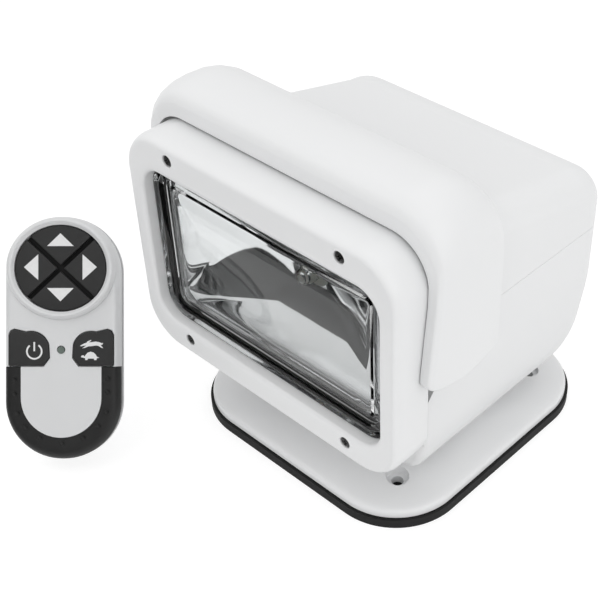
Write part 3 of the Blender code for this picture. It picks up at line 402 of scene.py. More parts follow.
# %% Levels
GAP = 0.3 * MM
DECK_HALF = 50 * MM
CABLE_Y = 33 * MM
EDGE_TOP = 9.5 * MM
SLOPE_TOP = 14.5 * MM
NECK_TOP = 19.5 * MM
FLOOR = 21.3 * MM
RIM = FLOOR + 87 * MM
HALF_WIDTH = 73 * MM
WALL = 2.5 * MM
ROOF_START = -34 * MM
HOLES = [(x, y) for x in (-DECK_HALF, DECK_HALF) for y in (-DECK_HALF, DECK_HALF)]
print("levels in mm:", [round(level / MM, 1) for level in (EDGE_TOP, SLOPE_TOP, NECK_TOP, FLOOR, RIM)])

# %% [markdown]
# ## Gasket and foot
# The gasket is die-cut or moulded rubber, one soft-edged slab. The foot above it is a moulding that
# flows from a square to a round neck; its four counterbores hide the heads of the deck screws. The flow
# is smoothed by averaging neighbouring sections, as a modeller blends two drawn outlines.

# %% Gasket
gasket = loft("gasket", [flat(ring((0, 0), (75 * MM, 75 * MM), 35 * MM, 24), z) for z in (0, 5 * MM)])
cut(gasket, *[loft("hole", [flat(circle(place, 3.2 * MM), z * MM) for z in (-1, 6)]) for place in HOLES])
cut(gasket, loft("hole", [flat(circle((0, CABLE_Y), 7.3 * MM), z * MM) for z in (-1, 6)]))
soften(gasket, 0.8 * MM)
dress(gasket, rubber, "base", "black_rubber", "base_gasket")


# %% Foot
def smooth_stations(stations, spread, count):
    """Reads a list of (key, numbers) at many keys, each value averaged over a small spread."""
    low, high = stations[0][0], stations[-1][0]

    def at(key):
        for (ka, a), (kb, b) in zip(stations, stations[1:]):
            if key <= kb:
                part = (key - ka) / (kb - ka)
                return [p + (q - p) * part for p, q in zip(a, b)]
        return list(stations[-1][1])

    result = []
    for step in range(count + 1):
        key = low + (high - low) * step / count
        reach = min(spread, key - low, high - key)
        samples = [at(key + reach * (k / 4 - 1)) for k in range(9)]
        result.append((key, [sum(column) / 9 for column in zip(*samples)]))
    return result


SIDE = 73.5 * MM
CORNER = 33.5 * MM
foot_steps = [
    (0.0, (SIDE, CORNER, 5.3 * MM)), (1.0, (SIDE, CORNER, EDGE_TOP - 0.9 * MM)),
    (1.3, (SIDE - 0.4 * MM, CORNER, EDGE_TOP)), (1.7, (SIDE - 1.6 * MM, CORNER, EDGE_TOP + 0.7 * MM)),
    (4.0, (56 * MM, 56 * MM, SLOPE_TOP)), (4.6, (50.5 * MM, 50.5 * MM, SLOPE_TOP + 1.2 * MM)),
    (5.2, (48 * MM, 48 * MM, SLOPE_TOP + 3.75 * MM)), (5.8, (48 * MM, 48 * MM, NECK_TOP)),
]
outer = [flat(ring((0, 0), (half, half), corner, 24), z)
         for _, (half, corner, z) in smooth_stations(foot_steps, 0.35, 58)]
foot = loft("foot", outer)
hollow = [(70.5, 30.5, 4.3), (70.5, 30.5, 6.5), (53, 53, 11.5), (47.5, 47.5, 12.7), (45, 45, 17.5)]
cut(foot, loft("hollow", [flat(ring((0, 0), (h * MM, h * MM), c * MM, 24), z * MM) for h, c, z in hollow]))
pieces = []
for place in HOLES:
    boss = [flat(circle(place, r * MM), z * MM) for r, z in ((9, 5.3), (9, 10.4))]
    pieces.append(loft("boss", boss))
pieces.append(loft("spindle", [flat(circle((0, 0), 13.7 * MM), z * MM) for z in (5.3, 33.0)]))
for tool in pieces:
    cut(foot, tool, how="UNION")
for place in HOLES:
    bore = [(2.9, 0), (2.9, 9.1), (5.2, 9.1), (5.5, 9.4), (5.5, 20)]
    cut(foot, loft("bore", [flat(circle(place, r * MM), z * MM) for r, z in bore]))
cut(foot, loft("bore", [flat(circle((0, 0), 8 * MM), z * MM) for z in (0, 34)]))
foot.data.set_sharp_from_angle(angle=math.radians(35))
dress(foot, white, "base", "white_housing", "base_housing")


# %% [markdown]
# ## The housing that turns
# A deep tub, wider at the shoulder than at the floor, holds the drives. Its front is cut away so that the
# lamp can nod. Two facts make it read as a moulding: the walls draw in towards the floor, so that it can
# leave its mould, and the rim is a touch rounded, which turns the joint with the cover into a fine shadow.

# %% Tub
def arch(half, low, high, corner, steps=14):
    """An upright outline with a flat foot and rounded shoulders."""
    corner = min(corner, 0.6 * (high - low))
    waist = (low + high - corner) / 2
    points = [(half, low), (half, waist)]
    for side in (0, 1):
        for step in range(steps + 1):
            angle = math.radians(90 * (side + step / steps))
            centre = half - corner if side == 0 else corner - half
            points.append((centre + corner * math.cos(angle), high - corner + corner * math.sin(angle)))
    points += [(-half, waist), (-half, low)]
    return points


tub_stations = [
    (FLOOR, (57 * MM, 49 * MM, 58 * MM, 14 * MM)), (FLOOR + 7 * MM, (63.5 * MM, 51 * MM, 62.5 * MM, 15 * MM)),
    (FLOOR + 24 * MM, (70 * MM, 54.5 * MM, 67.5 * MM, 16 * MM)),
    (FLOOR + 55 * MM, (HALF_WIDTH, 60.5 * MM, 70 * MM, 16 * MM)),
    (RIM, (HALF_WIDTH, 62.5 * MM, 70 * MM, 16 * MM)),
]


def tub_section(z, numbers, inset):
    half, front, rear, corner = numbers
    return flat(ring((0, (rear - front) / 2), (half - inset, (rear + front) / 2 - inset), corner - inset,
                     16, near=4 * MM - inset / 2), z)


levels = smooth_stations(tub_stations, 8 * MM, 40)
outside = [tub_section(z, n, 0) for z, n in levels]
outside[0] = tub_section(FLOOR, levels[0][1], 1.0 * MM)
outside.insert(1, tub_section(FLOOR + 0.35 * MM, levels[0][1], 0.3 * MM))
outside.insert(2, tub_section(FLOOR + 1.0 * MM, levels[0][1], 0))
outside[-1] = tub_section(RIM - 0.6 * MM, levels[-1][1], 0)
outside.append(tub_section(RIM - 0.15 * MM, levels[-1][1], 0.2 * MM))
outside.append(tub_section(RIM, levels[-1][1], 0.6 * MM))
inside = [tub_section(z, n, WALL) for z, n in reversed(levels) if z > FLOOR + WALL + 1 * MM]
floor_in = tub_section(FLOOR + WALL, levels[1][1], WALL)
tub = loft("tub", outside + inside + [floor_in])
SHOULDER = FLOOR + 55 * MM
FRONT = -90.5 * MM
throat = [(FRONT, SHOULDER), (-58 * MM, SHOULDER), (ROOF_START, RIM), (ROOF_START, RIM + 9 * MM),
          (FRONT, RIM + 9 * MM)]
cut(tub, loft("throat", [sideways(throat, x * MM) for x in (-78, 78)]))
# the opening is narrower low down, where the walls still draw in
for half, low, high in ((68.6, 26, 40), (70.2, 39, 92)):
    opening = [(FRONT, FLOOR + low * MM), (-38.5 * MM, FLOOR + low * MM), (-38.5 * MM, FLOOR + high * MM),
               (FRONT, FLOOR + high * MM)]
    cut(tub, loft("front", [sideways(opening, x * MM) for x in (-half, half)]))
cut(tub, loft("bore", [flat(circle((0, 0), 14.3 * MM), z * MM) for z in (20, 25)]))
TILT_AXIS = (-8 * MM, 88 * MM)
cut(tub, loft("bush", [sideways(circle(TILT_AXIS, 7.3 * MM), x * MM) for x in (-72.4, 72.4)]))
tub.data.set_sharp_from_angle(angle=math.radians(35))
dress(tub, white, "pan_body", "white_housing", "pan_chassis")


# %% [markdown]
# The cover closes the tub from above. Its roof falls towards the rear and rolls over into the back wall in
# one wide curve, so a wave or a heavy rain runs off it. Each section is an arch; the last ones draw in
# sideways too, which rounds the rear corners in plan.

# %% Rear cover
ROOF_TOP = 158.5 * MM
ROOF_FALL = 0.234
SHOULDER_ROUND = 13 * MM


def roof(y):
    """Height of the sloping roof at a distance back."""
    return ROOF_TOP - ROOF_FALL * (y - ROOF_START)


def cover_sections(inset, low, front, count=24):
    """Arches from the front edge to the back wall, drawn in by an inset."""
    turn = 45 * MM
    radius = 25 * MM - inset
    corner = 16 * MM - inset

    sections = []
    for y in (front, front + 1 * MM, 0, 20 * MM):
        sections.append(upright(arch(HALF_WIDTH - inset, low, roof(y) - inset, SHOULDER_ROUND), y))
    for step in range(count + 1):
        angle = math.radians(90 * step / count)
        y = turn + radius * math.sin(angle)
        top = roof(turn) - inset - radius * (1 - math.cos(angle))
        past = min(1.0, max(0.0, y - 54 * MM) / corner)
        narrow = corner * (1 - math.sqrt(1 - past ** 2))
        sections.append(upright(arch(HALF_WIDTH - inset - narrow, low, top, SHOULDER_ROUND), y))
    return sections


cover = loft("cover", cover_sections(0, RIM + GAP, ROOF_START))
cut(cover, loft("hollow", cover_sections(WALL, RIM - 4 * MM, ROOF_START - 5 * MM)))
soften(cover, 0.45 * MM, 2)
dress(cover, white, "pan_body", "white_housing", "rear_cover")


# %% [markdown]
# ## Hood
# The hood is one thick band that stands clear of the housing and slides over it as the lamp nods. Its
# front edge is a rounded lip that laps the bezel; from there the skin swells to full height within a few
# millimetres, runs level and rolls down again at the rear. Each cross-section is the same arch, drawn in
# by a small amount that depends on how far back it lies, which is how such a crowned shape is sketched.

# %% Hood
HOOD_LOW = 96 * MM
HOOD_TOP = 180.5 * MM
HOOD_HALF = 85.4
HOOD_ROUND = 25
# share of the way back, then how far the skin lies in from its widest, across and down
CROWN = [(0, 2.3, 8.6), (0.01, 1.6, 7.5), (0.05, 0.8, 4.5), (0.12, 0.3, 2.2), (0.25, 0, 0.5), (0.4, 0.2, 0),
         (0.6, 1, 0.3), (0.75, 1.8, 1.8), (0.9, 2.6, 5), (1, 3.2, 9)]


def crown(share):
    """The crown's two insets at any share of the way back, rounded between the listed ones."""
    for (a, *low), (b, *high) in zip(CROWN, CROWN[1:]):
        if share <= b:
            part = (share - a) / (b - a)
            return [p + (q - p) * part for p, q in zip(low, high)]


def hood_edges(z):
    """Front and rear edge of the hood at a height."""
    front = -66 - 4 * min(1.0, max(0.0, (141 * MM - z) / (37 * MM)))
    toe = min(1.0, max(0.0, (104 * MM - z) / (8 * MM)))
    front += 11.2 * (1 - math.sqrt(1 - toe * toe))
    rear = -26.5 + 3.5 * (1 - min(1.0, max(0.0, (z - 141 * MM) / (39.5 * MM))))
    return front * MM, rear * MM


def hood_row(share, across, down):
    """One arch of the hood, drawn in across and down by so many millimetres."""
    half = (HOOD_HALF - across) * MM
    shoulders = arch(half, HOOD_LOW, HOOD_TOP - down * MM, (HOOD_ROUND - across) * MM, 20)[2:-2]
    start = shoulders[0][1]
    spread = (0, 0.004, 0.012, 0.022, 0.035, 0.052, 0.07, 0.1, 0.13, 0.2, 0.3, 0.4, 0.55, 0.7, 0.85)
    edge = [(half, HOOD_LOW + (start - HOOD_LOW) * part) for part in spread]
    row = []
    for x, z in edge + shoulders + [(-x, z) for x, z in reversed(edge)]:
        front, rear = hood_edges(z)
        row.append((x, front + (rear - front) * share, z))
    return row


shares = [0, 0.01, 0.025, 0.05, 0.08, 0.12, 0.18, 0.25, 0.32, 0.4, 0.5, 0.6, 0.68, 0.75, 0.83, 0.9, 0.95, 1]
outer_skin = [hood_row(share, *crown(share)) for share in shares]
inner_skin = [hood_row(share, 6, 14.5) for share in (0, 0.01, 0.025, 0.05)]
inner_skin += [hood_row(share, 5.7, 13.5) for share in (0.08, 0.12)]
inner_skin += [hood_row(share, crown(max(share, 0.3))[0] + 2.5, crown(max(share, 0.3))[1] + extra)
               for share, extra in zip(shares[6:], (4, 3) + (2.6,) * 10)]


def skin_between(name, first, second):
    """A shell between two grids of points, closed along its four borders."""
    bm = bmesh.new()
    a, b = [[[bm.verts.new(p) for p in row] for row in grid] for grid in (first, second)]
    rows, columns = len(a), len(a[0])
    for grid in (a, b):
        for i in range(rows - 1):
            for j in range(columns - 1):
                bm.faces.new((grid[i][j], grid[i][j + 1], grid[i + 1][j + 1], grid[i + 1][j]))
    for i in range(rows - 1):
        for j in (0, columns - 1):
            bm.faces.new((a[i][j], a[i + 1][j], b[i + 1][j], b[i][j]))
    for j in range(columns - 1):
        for i in (0, rows - 1):
            bm.faces.new((a[i][j], a[i][j + 1], b[i][j + 1], b[i][j]))
    return as_object(name, bm)


hood = skin_between("hood_shell", outer_skin, inner_skin)
soften(hood, 0.8 * MM, 4, 50)
dress(hood, white, "head", "white_housing", "hood")


# %% [markdown]
# ## Bezel
# A picture frame round the lens. Its section is a soft roll outside, a broad face, then a short turn and a
# steep wall down to the glass, which draws a thin dark line round it. Four seats are cut for its screws.

# %% Bezel
LENS_AT = (0, 106.5 * MM)


def bezel_ring(share, y):
    """A ring part of the way from the bezel's outer edge to its opening."""
    outer = ring((0, 107.5 * MM), (79 * MM, 57.5 * MM), 20 * MM, 20)
    inner = ring(LENS_AT, (69.8 * MM, 41.2 * MM), 12 * MM, 20)
    return [(a[0] + (b[0] - a[0]) * share, y * MM, a[1] + (b[1] - a[1]) * share)
            for a, b in zip(outer, inner)]


roll = []
for step in range(11):
    angle = math.radians(90 * step / 10)
    roll.append((0.2 * (1 - math.cos(angle)), -78 - 6 * math.sin(angle)))
profile = [(0.02, -63.9), (0.0, -64.5)] + roll
profile += [(0.34, -84.0), (0.6, -84.0), (0.8, -83.9), (0.9, -83.7), (0.95, -83.4), (0.98, -83.0),
            (1.0, -82.3), (1.0, -74.3), (0.99, -74), (0.2, -74),
            (0.17, -73.6), (0.17, -63.9)]
bezel = loft("bezel_frame", [bezel_ring(share, y) for share, y in profile], loop=True, sharp=50)
SCREWS = [(x * MM, z * MM) for x in (-50, 50) for z in (157.5, 59.5)]
for x, z in SCREWS:
    seat = [(3.4, -86), (3.1, -84), (2.8, -83.7), (2.8, -81.8)]
    cut(bezel, loft("seat", [upright(circle((x, z), r * MM, 32), y * MM) for r, y in seat]))
    cut(bezel, loft("way", [upright(circle((x, z), 1.7 * MM, 24), y * MM) for y in (-86, -72)]))
bezel.data.set_sharp_from_angle(angle=math.radians(40))
dress(bezel, white, "head", "white_housing", "bezel")

# %% [markdown]
# The bezel's four screws are small pan heads sunk below the face. Their cross is cut deep, so each reads as
# one dark mark in the white frame.

# %% Bezel screws
for name, (x, z) in zip(("top_left", "low_left", "top_right", "low_right"), SCREWS):
    low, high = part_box("bezel_screw_" + name)
    head = [(1.3, 0), (2.0, 0.12), (2.4, 0.45), (2.5, 0.9), (2.5, 1.5), (1.4, 1.5)]
    steps = [(r, low.y + depth * MM) for r, depth in head] + [(1.4, high.y)]
    screw = loft("screw_" + name, [upright(circle((x, z), r * MM, 32), y) for r, y in steps])
    for wide, tall in ((0.45 * MM, 1.6 * MM), (1.6 * MM, 0.45 * MM)):
        outline = [(x + wide, z + tall), (x - wide, z + tall), (x - wide, z - tall), (x + wide, z - tall)]
        cut(screw, loft("cross", [upright(outline, low.y + depth * MM) for depth in (-1, 1.1)]))
    dress(screw, dark_steel, "head", "steel", "bezel_screw_" + name)

# %% [markdown]
# ## Lens and reflector
# The lens is pressed glass. Its rim goes up in steps, and each step draws a bright and a dark line round
# the opening; the middle is gently domed. The reflector behind it is a rectangular bowl: a deep curve in
# both directions throws a broad, flat-topped beam, and the mirror skin shows the room bent into crescents.


# %% Lens
# the opening's half sizes and corner, in millimetres
OPENING_X, OPENING_Z, OPENING_ROUND = 67.6, 39, 10


def window(shrink, y, least=0):
    """The opening's outline, shrunk or grown; its corner stays at least so round."""
    return upright(ring(LENS_AT, ((OPENING_X - shrink) * MM, (OPENING_Z - shrink) * MM),
                        max(OPENING_ROUND - shrink, least) * MM, 12), y)


face = -78.6
lens_profile = [(24, face + 0.2), (19, face + 0.3), (14, face + 0.5), (10, face + 0.8), (8.4, face + 1.0),
                (8.0, face + 1.2), (7.4, face + 2.3), (7.0, face + 2.5), (5.0, face + 2.4),
                (4.6, face + 2.2), (4.0, face + 1.2), (3.6, face + 1.0), (1.4, face + 0.6),
                (1.0, face + 0.8), (0.5, face + 1.9), (0.1, face + 2.1), (-1.4, face),
                (-1.8, face + 0.2), (-2.0, face + 0.8), (-2.1, face + 6.2), (-2.9, face + 6.5),
                (-3, face + 6.8), (-3, face + 9.2), (-2.7, face + 9.5), (3, face + 9.5), (5.5, face + 6.6),
                (8, face + 4.2), (14, face + 3.6), (24, face + 3.0)]
lens = loft("lens_glass", [window(shrink, y * MM, 2) for shrink, y in lens_profile], sharp=25)
# the lens sits where the frame's lens does
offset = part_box("lens")[0].y - min(v.co.y for v in lens.data.vertices)
lens.data.transform(Matrix.Translation((0, offset, 0)))
dress(lens, glass, "head", "clear_glass", "lens")


# %% Reflector
def bowl(inset, lift, front):
    """Sections of the bowl from its mouth back to the round neck at the bulb."""
    neck = 9.0
    sections = []
    count = 30
    for step in range(count + 1):
        deep = step / count
        inward = 1 - math.sqrt(max(0.0, 1 - deep ** 1.35)) if deep < 1 else 1.0
        half_x = ((OPENING_X - 1) * (1 - inward) + neck * inward + inset) * MM
        half_z = ((OPENING_Z - 1) * (1 - inward) + neck * inward + inset) * MM
        swell = 14 * math.sin(math.pi * inward)
        corner = (OPENING_ROUND + (neck - OPENING_ROUND) * inward + inset + swell) * MM
        sections.append(upright(ring(LENS_AT, (half_x, half_z), corner, 12),
                                front + (lift + 26 * deep) * MM))
    return sections


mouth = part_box("reflector")[0].y
inside = bowl(0, 0, mouth)
outside = bowl(1.5, 1.5, mouth)


lip = [window(-0.8, mouth + 1.5 * MM), window(-4, mouth + 1.5 * MM), window(-4, mouth)]
reflector = loft("reflector_bowl", inside + list(reversed(outside[1:])) + lip, loop=True)
dress(reflector, mirror, "head", "bright_reflector", "reflector")

# %% [markdown]
# ## Handset
# The handset is drawn lying flat, x across and y along it, and stood up at the end in the frame's place.
# Two shells meet at a parting line; a raised ring frames the round pad; a rubber grip runs round the lower
# end in a U. The pad's four keys are quarters of an oval between crossing gaps.

# %% Handset outlines
FACE = 3 * MM
HAND_HALF_X, HAND_HALF_Y, HAND_ROUND = 27.6, 57.85, 27.2
PAD_Y = 91


def capsule(inset, steps=18):
    """The handset's outline, drawn in by so many millimetres."""
    return ring((0, HAND_HALF_Y * MM), ((HAND_HALF_X - inset) * MM, (HAND_HALF_Y - inset) * MM),
                (HAND_ROUND - inset) * MM, steps)


def oval(half_x, half_y, steps=96):
    """The round pad's outline."""
    angles = [math.tau * k / steps for k in range(steps)]
    return [(half_x * MM * math.cos(a), (PAD_Y + half_y * math.sin(a)) * MM) for a in angles]


def lower_key(shrink):
    """The right lower key: straight top and outside, a scooped inner corner."""
    high = 62 - shrink
    low = 44.6 + shrink
    left = 5.6 + shrink
    right = 24.8 - shrink
    points = [(left + 3, low), (right - 0.6, low), (right, low + 0.6), (right, high - 3),
              (right - 0.9, high - 0.9), (right - 3, high)]
    for step in range(13):
        angle = math.radians(75 + 90 * step / 12)
        points.append((left + 9 + 9 * math.cos(angle), low + 8 + (high - low - 9) * math.sin(angle)))
    points.append((left, low + 4))
    return [(x * MM, y * MM) for x, y in points]


def mirrored(points):
    """The same outline on the left."""
    return [(-x, y) for x, y in reversed(points)]


def quarter_key(direction, shrink):
    """A quarter of the pad, towards a direction in degrees, between crossing gaps."""
    gap = 1.1 + shrink
    middle = math.radians(direction)
    start = gap / math.sin(math.radians(45))
    half_x, half_y = 21.6 - shrink, 20.3 - shrink
    side = math.asin(gap / half_y)
    points = [(start * math.cos(middle), start * math.sin(middle))]
    for step in range(25):
        angle = middle - math.pi / 4 + side + (math.pi / 2 - 2 * side) * step / 24
        points.append((half_x * math.cos(angle), half_y * math.sin(angle)))
    return [(x * MM, (PAD_Y + y) * MM) for x, y in points]


def grip_area(grow):
    """The lower end of the handset outside a U, which the rubber covers."""
    inner, top = 19.4 - grow, 44 + grow
    points = [(inner, top), (32, top), (32, -5), (-32, -5), (-32, top), (-inner, top)]
    for step in range(41):
        angle = math.pi * step / 40 - math.pi
        points.append((inner * math.cos(angle), 29.6 + inner * math.sin(angle)))
    return [(x * MM, y * MM) for x, y in points]


print("handset outlines ready")

# %% Handset shells
front_steps = [(6, 3.0), (4.2, 2.93), (3.0, 2.75), (2.1, 2.35), (1.35, 1.6), (0.8, 0.6), (0.35, -0.5),
               (0.0, -1.5), (0.0, -2.7), (0.15, -3.0), (1.8, -3.0), (3.0, -1.0)]
front, grip = [loft(name, [flat(capsule(inset), z * MM) for inset, z in front_steps])
               for name in ("front_shell", "grip")]
cut(front, loft("pad", [flat(oval(22, 20.7), z * MM) for z in (0.8, 9)]))
for turn in (mirrored, list):
    cut(front, loft("key", [flat(turn(lower_key(-0.4)), z * MM) for z in (0.8, 9)]))
cut(front, loft("led", [flat(circle((0, 52.3 * MM), 2.0 * MM, 32), z * MM) for z in (1, 9)]))
cut(front, loft("groove", [flat(grip_area(0.25), z * MM) for z in (-9, 9)]))
front.data.set_sharp_from_angle(angle=math.radians(35))

back_steps = [(5, -15), (3.2, -14.8), (2.2, -14.0), (1.5, -12.8), (0.8, -11), (0.3, -9.3), (0.05, -7.5),
              (0.0, -6.5), (0.15, -6.3), (1.8, -6.3), (3.8, -12.5)]
back = loft("back_shell", [flat(capsule(inset), z * MM) for inset, z in back_steps])

ring_steps = [(26, 24.4, 0), (25.85, 24.25, 0.6), (25.2, 23.6, 1.82), (24.6, 23.2, 2.45), (24.1, 22.7, 2.6),
              (23.6, 22.2, 2.6), (23.1, 21.8, 2.3), (22.3, 21, 1.3), (22, 20.7, 1.04), (22, 20.7, 0)]
collar = loft("pad_collar", [flat(oval(a, b), FACE + GAP + z * MM) for a, b, z in ring_steps], loop=True)
print("shells and collar made")

# %% [markdown]
# The grip has the front shell's own rounded edge, so it wraps the lower end down to the parting line. It
# carries eleven small dimples for the fingers. They are pressed into the rubber, so they are cut
# as shallow balls along the U, under a millimetre deep.

# %% Grip
cut(grip, loft("area", [flat(grip_area(0), z * MM) for z in (-9, 9)]), how="INTERSECT")
DIMPLES = [(-22.2, 38), (-22.2, 31.3), (-20.8, 22.1), (-16.9, 15.4), (-10.2, 10.6), (0.4, 7.9), (10.5, 10.3),
           (17.7, 15.9), (21.6, 22.6), (22.3, 32.2), (22.3, 38.5)]
for x, y in DIMPLES:
    ball = bmesh.new()
    bmesh.ops.create_uvsphere(ball, u_segments=20, v_segments=12, radius=1.7 * MM)
    bmesh.ops.translate(ball, vec=(x * MM, y * MM, FACE + 0.9 * MM), verts=ball.verts)
    cut(grip, as_object("ball", ball))
grip.data.set_sharp_from_angle(angle=math.radians(35))
print("grip made with", len(DIMPLES), "dimples")


# %% [markdown]
# ## Keys and their marks
# Each key is a rubber block with a rounded top edge. The marks on it are thin islands of pale print:
# arrows for the four directions, the common sign for power, and a hare and a tortoise for fast and slow.
# They are separate thin shapes so that their edges stay sharp at any distance.

# %% Keys and prints
def key(name, outline, top):
    """A rubber block with a rounded top edge."""
    low = FACE - 2.2 * MM + 0.7 * MM + GAP
    top = top * MM
    levels = ((0.0, low), (0.0, top - 0.55 * MM), (0.15, top - 0.25 * MM), (0.4, top - 0.1 * MM),
              (0.75, top - 0.06 * MM))
    return loft(name, [flat(outline(shrink), z) for shrink, z in levels])


def printed(name, outlines, top):
    """Thin islands of print, half sunk into a key's top."""
    bm = bmesh.new()
    for outline in outlines:
        levels = ((top - 0.12) * MM, top * MM)
        rows = [[bm.verts.new((x * MM, y * MM, z)) for x, y in outline] for z in levels]
        count = len(outline)
        for k in range(count):
            bm.faces.new((rows[0][k], rows[0][(k + 1) % count], rows[1][(k + 1) % count], rows[1][k]))
        for row in rows:
            bm.faces.new(row)
    return as_object(name, bm)


PAD_TOP = 4.2
LOW_TOP = 3.8
handset = [(front, silver, "handset", "silver_plastic", "handset_front"),
           (back, silver, "handset", "silver_plastic", "handset_back"),
           (collar, trim, "handset", "silver_plastic", "handset_ring"),
           (grip, grip_rubber, "handset", "black_rubber", "handset_grip")]
# the pad's floor is a thin dark disc of painted shade: its black stands in for the shade deep in the gaps
# between the keys, so they read as deep
pad_shade_disc = loft("pad_floor_painted_shade", [flat(oval(21.9, 20.6), z * MM) for z in (0.78, 0.9)])
handset.append((pad_shade_disc, rubber, "handset", "black_rubber", None))
ARROWS = {"key_up": [(0, 107.6), (-6.3, 101.5), (6.3, 101.5)],
          "key_down": [(0, 75.3), (6.3, 81.6), (-6.3, 81.6)],
          "key_left": [(-17.3, 91.5), (-10.5, 85.4), (-10.5, 97.6)],
          "key_right": [(17.3, 91.5), (10.5, 97.6), (10.5, 85.4)]}
for name, direction in (("key_right", 0), ("key_up", 90), ("key_left", 180), ("key_down", 270)):
    block = key(name + "_block", lambda shrink, d=direction: quarter_key(d, shrink), PAD_TOP)
    handset.append((block, keys, name + "_body", "key_rubber", name))
    arrow = printed(name + "_arrow", [ARROWS[name]], PAD_TOP)
    handset.append((arrow, ink, name + "_body", "key_rubber", None))

arc = []
for radius, order in ((3.9, 1), (3.1, -1)):
    arc += [(-12.5 + radius * math.sin(math.radians(a)), 51.5 + radius * math.cos(math.radians(a)))
            for a in list(range(34, 327, 6))[::order]]
bar = [(-12.9, 51.6), (-12.1, 51.6), (-12.1, 56.0), (-12.9, 56.0)]
HARE = [(0, 1.2), (1.2, 1.9), (2.2, 2.4), (3.0, 2.6), (3.6, 3.3), (5.2, 4.0), (5.4, 3.6), (4.2, 2.8),
        (5.5, 2.9), (7.5, 3.2), (9.2, 2.9), (10.3, 2.4), (11, 2.6), (10.7, 1.8), (9.8, 1.5), (10.6, 0.6),
        (11, 0), (9.9, 0.4), (8.6, 1.2), (7.4, 1.3), (5.5, 1.0), (4.0, 0.9), (2.4, 0.2), (1.0, 0), (2.2, 0.8),
        (3, 1.3), (1.6, 1.2), (0.6, 0.9)]
TORTOISE = [(0, 1.6), (0.3, 2.3), (1.2, 2.5), (1.8, 1.9), (2.2, 2.6), (3.2, 3.7), (4.6, 4.2), (6.0, 3.8),
            (7.1, 2.8), (7.6, 1.8), (8.8, 1.3), (7.6, 1.1), (7.4, 0.2), (6.4, 0.2), (6.1, 0.9), (3.4, 0.9),
            (3.1, 0.2), (2.1, 0.2), (2.0, 1.1), (1.2, 1.3)]
hare = [(9.2 + x, 53.0 + y) for x, y in HARE]
tortoise = [(9.6 + x, 47.2 + y) for x, y in TORTOISE]
signs = {"key_power": (mirrored, [arc, bar]), "key_speed": (list, [hare, tortoise])}
for name, (turn, outlines) in signs.items():
    block = key(name + "_block", lambda shrink, t=turn: t(lower_key(shrink)), LOW_TOP)
    handset.append((block, keys, name + "_body", "key_rubber", name))
    sign = printed(name + "_sign", outlines, LOW_TOP)
    handset.append((sign, ink, name + "_body", "key_rubber", None))
print("made", len(handset), "handset pieces")

# %% [markdown]
# The whole handset now stands up, leans back and turns as the frame has it. The lowest point of its
# shells rests just above the floor, so one matrix serves every piece.

# %% Handset in place
HAND_TURN = math.radians(42.2)
HAND_RISE = math.radians(90 - 38.7)
stand = Matrix.Rotation(HAND_TURN, 4, "Z") @ Matrix.Rotation(HAND_RISE, 4, "X")
lowest = min((stand @ v.co).z for shell in (front, back) for v in shell.data.vertices)
place = Matrix.Translation((-78.9 * MM, -145.7 * MM, GAP - lowest)) @ stand
for obj, paint, body, slot_name, node in handset:
    obj.matrix_world = place
    dress(obj, paint, body, slot_name, *([node] if node else []))

# %% [markdown]
# ## The pieces that stay as they are
# Seal, bulb, gears, motors and boards keep the frame's own shapes and only get their finish.

# %% Carried-over pieces
keep = {
    rubber: ("cable_grommet", "lens_seal"),
    housing_grey: ("lamp_housing",),
    steel: ("pan_motor", "pan_motor_bracket", "tilt_motor", "tilt_motor_bracket", "tilt_arm_left",
            "tilt_arm_right", "tilt_shaft", "spindle_clip", "battery_cell"),
    brass: ("pan_gear", "pan_pinion", "tilt_gear", "tilt_pinion"),
    nylon: ("pan_washer", "tilt_bush_left", "tilt_bush_right", "bulb_socket"),
    board: ("receiver_board", "keypad_board"),
    glass: ("bulb",),
    lamp_green: ("handset_led",),
}
for paint, names in keep.items():
    for name in names:
        node = frame["nodes"][name]
        node.data.materials.clear()
        node.data.materials.append(paint.material)
        next(s["material_slot"] for s in frame["record"]["subparts"] if s["node"] == name)
print("dressed", sum(len(names) for names in keep.values()), "frame nodes")

# %% [markdown]
# ## Floor, light and camera
# A product on white: the floor is white of its own colour, and what the camera sees directly is lifted to
# pure white while the object's shadow stays in it. A dark card slopes up in front of the lamp. Only
# reflections see it: a mirror needs something dark to show before it reads as a mirror, and the white
# housing loses no light to the card. The room is even and bright, and three wide lamps shape the edges.

# %% Floor and world
stage_mesh = bmesh.new()
bmesh.ops.create_grid(stage_mesh, x_segments=1, y_segments=1, size=6)
floor = as_object("floor", stage_mesh)
floor_paint = Paint("floor_white", Base_Color=(0.86, 0.86, 0.86, 1), Roughness=0.8)
tree = floor_paint.material.node_tree
seen = floor_paint.make("ShaderNodeLightPath", {}, {}, "Is Camera Ray")
shiny = floor_paint.make("ShaderNodeLightPath", {}, {}, "Is Glossy Ray")
through = floor_paint.make("ShaderNodeLightPath", {}, {}, "Is Transmission Ray")
lift = (seen + shiny * 0.4 + through * 0.3) * 0.62
glow = floor_paint.make("ShaderNodeEmission", {}, {"Color": (1, 1, 1, 1), "Strength": 1.25})
mixed = floor_paint.make("ShaderNodeMixShader", {}, {0: lift})
tree.links.new(floor_paint.shader.outputs[0], mixed.socket.node.inputs[1])
tree.links.new(glow.socket, mixed.socket.node.inputs[2])
tree.links.new(mixed.socket, tree.nodes["Material Output"].inputs["Surface"])
floor.data.materials.append(floor_paint.material)

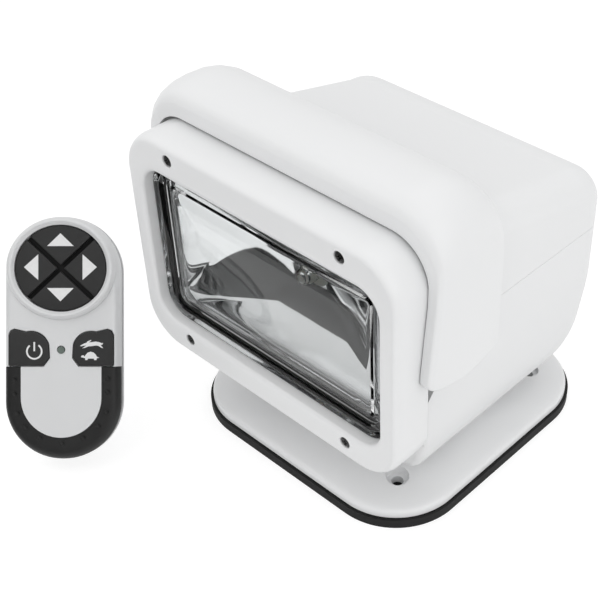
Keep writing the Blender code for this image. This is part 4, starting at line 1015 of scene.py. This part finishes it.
world = bpy.data.worlds.new("studio")
bpy.context.scene.world = world
world.use_nodes = True
sky = world.node_tree
room = sky.nodes["Background"]
room.inputs["Color"].default_value = (1, 1, 1, 1)
room.inputs["Strength"].default_value = 0.73
backdrop = sky.nodes.new("ShaderNodeBackground")
backdrop.inputs["Color"].default_value = (1, 1, 1, 1)
backdrop.inputs["Strength"].default_value = 1.05
ray = sky.nodes.new("ShaderNodeLightPath")
choice = sky.nodes.new("ShaderNodeMixShader")
sky.links.new(ray.outputs["Is Camera Ray"], choice.inputs[0])
sky.links.new(room.outputs[0], choice.inputs[1])
sky.links.new(backdrop.outputs[0], choice.inputs[2])
sky.links.new(choice.outputs[0], sky.nodes["World Output"].inputs["Surface"])
print("floor and world made")


# %% Lamps and card
def aim(obj, position, target):
    obj.location = position
    obj.rotation_euler = (Vector(target) - Vector(position)).to_track_quat("-Z", "Y").to_euler()


def panel(name, position, size, watts, target=(0, 0, 0.09)):
    lamp = bpy.data.lights.new(name, "AREA")
    lamp.shape = "RECTANGLE"
    lamp.size, lamp.size_y = size
    lamp.energy = watts
    obj = bpy.data.objects.new(name, lamp)
    bpy.context.scene.collection.objects.link(obj)
    aim(obj, position, target)
    return obj


def card(name, position, size, tone, target):
    """A flat board that only reflections see; the light passes through it."""
    bm = bmesh.new()
    bmesh.ops.create_grid(bm, x_segments=1, y_segments=1, size=0.5)
    bmesh.ops.scale(bm, vec=(size[0], size[1], 1), verts=bm.verts)
    obj = as_object(name, bm)
    paint = Paint(name + "_paint", Base_Color=(tone, tone, tone, 1), Roughness=0.9)
    tree = paint.material.node_tree
    reflected = paint.make("ShaderNodeLightPath", {}, {}, "Is Glossy Ray")
    through = paint.make("ShaderNodeLightPath", {}, {}, "Is Transmission Ray")
    clear = paint.make("ShaderNodeBsdfTransparent")
    shown = paint.make("ShaderNodeMixShader", {}, {0: reflected + through, 1: clear})
    tree.links.new(paint.shader.outputs[0], shown.socket.node.inputs[2])
    tree.links.new(shown.socket, tree.nodes["Material Output"].inputs["Surface"])
    obj.data.materials.append(paint.material)
    aim(obj, position, target)
    return obj


key_light = panel("key_light", (-0.7, -0.75, 1.3), (1.8, 1.8), 7.8)
# the mirror shows the even room in place of this lamp
key_light.visible_glossy = False
key_light.visible_transmission = False
panel("top_light", (0.15, 0.35, 1.2), (1.6, 1.0), 1.7)
panel("side_light", (1.1, -0.1, 0.55), (1.2, 1.0), 3.2)
card("dark_card", (0, -0.755, 0.431), (3.2, 1.375), 0.01, (0, -0.146, 1.224))
print("lamps and card made")

# %% Camera
camera_data = bpy.data.cameras.new("camera")
camera = bpy.data.objects.new("camera", camera_data)
bpy.context.scene.collection.objects.link(camera)
VIEWPOINT = (0.31093, -0.34291, 0.43125)
LOOKED_AT = (0, 0, 0.0606)
aim(camera, VIEWPOINT, LOOKED_AT)
camera_data.sensor_width = 36
camera_data.lens = 73.284
camera_data.shift_x = -0.15
camera_data.clip_start = 0.01
bpy.context.scene.camera = camera
bpy.context.scene.view_settings.view_transform = "Standard"
print("camera made")
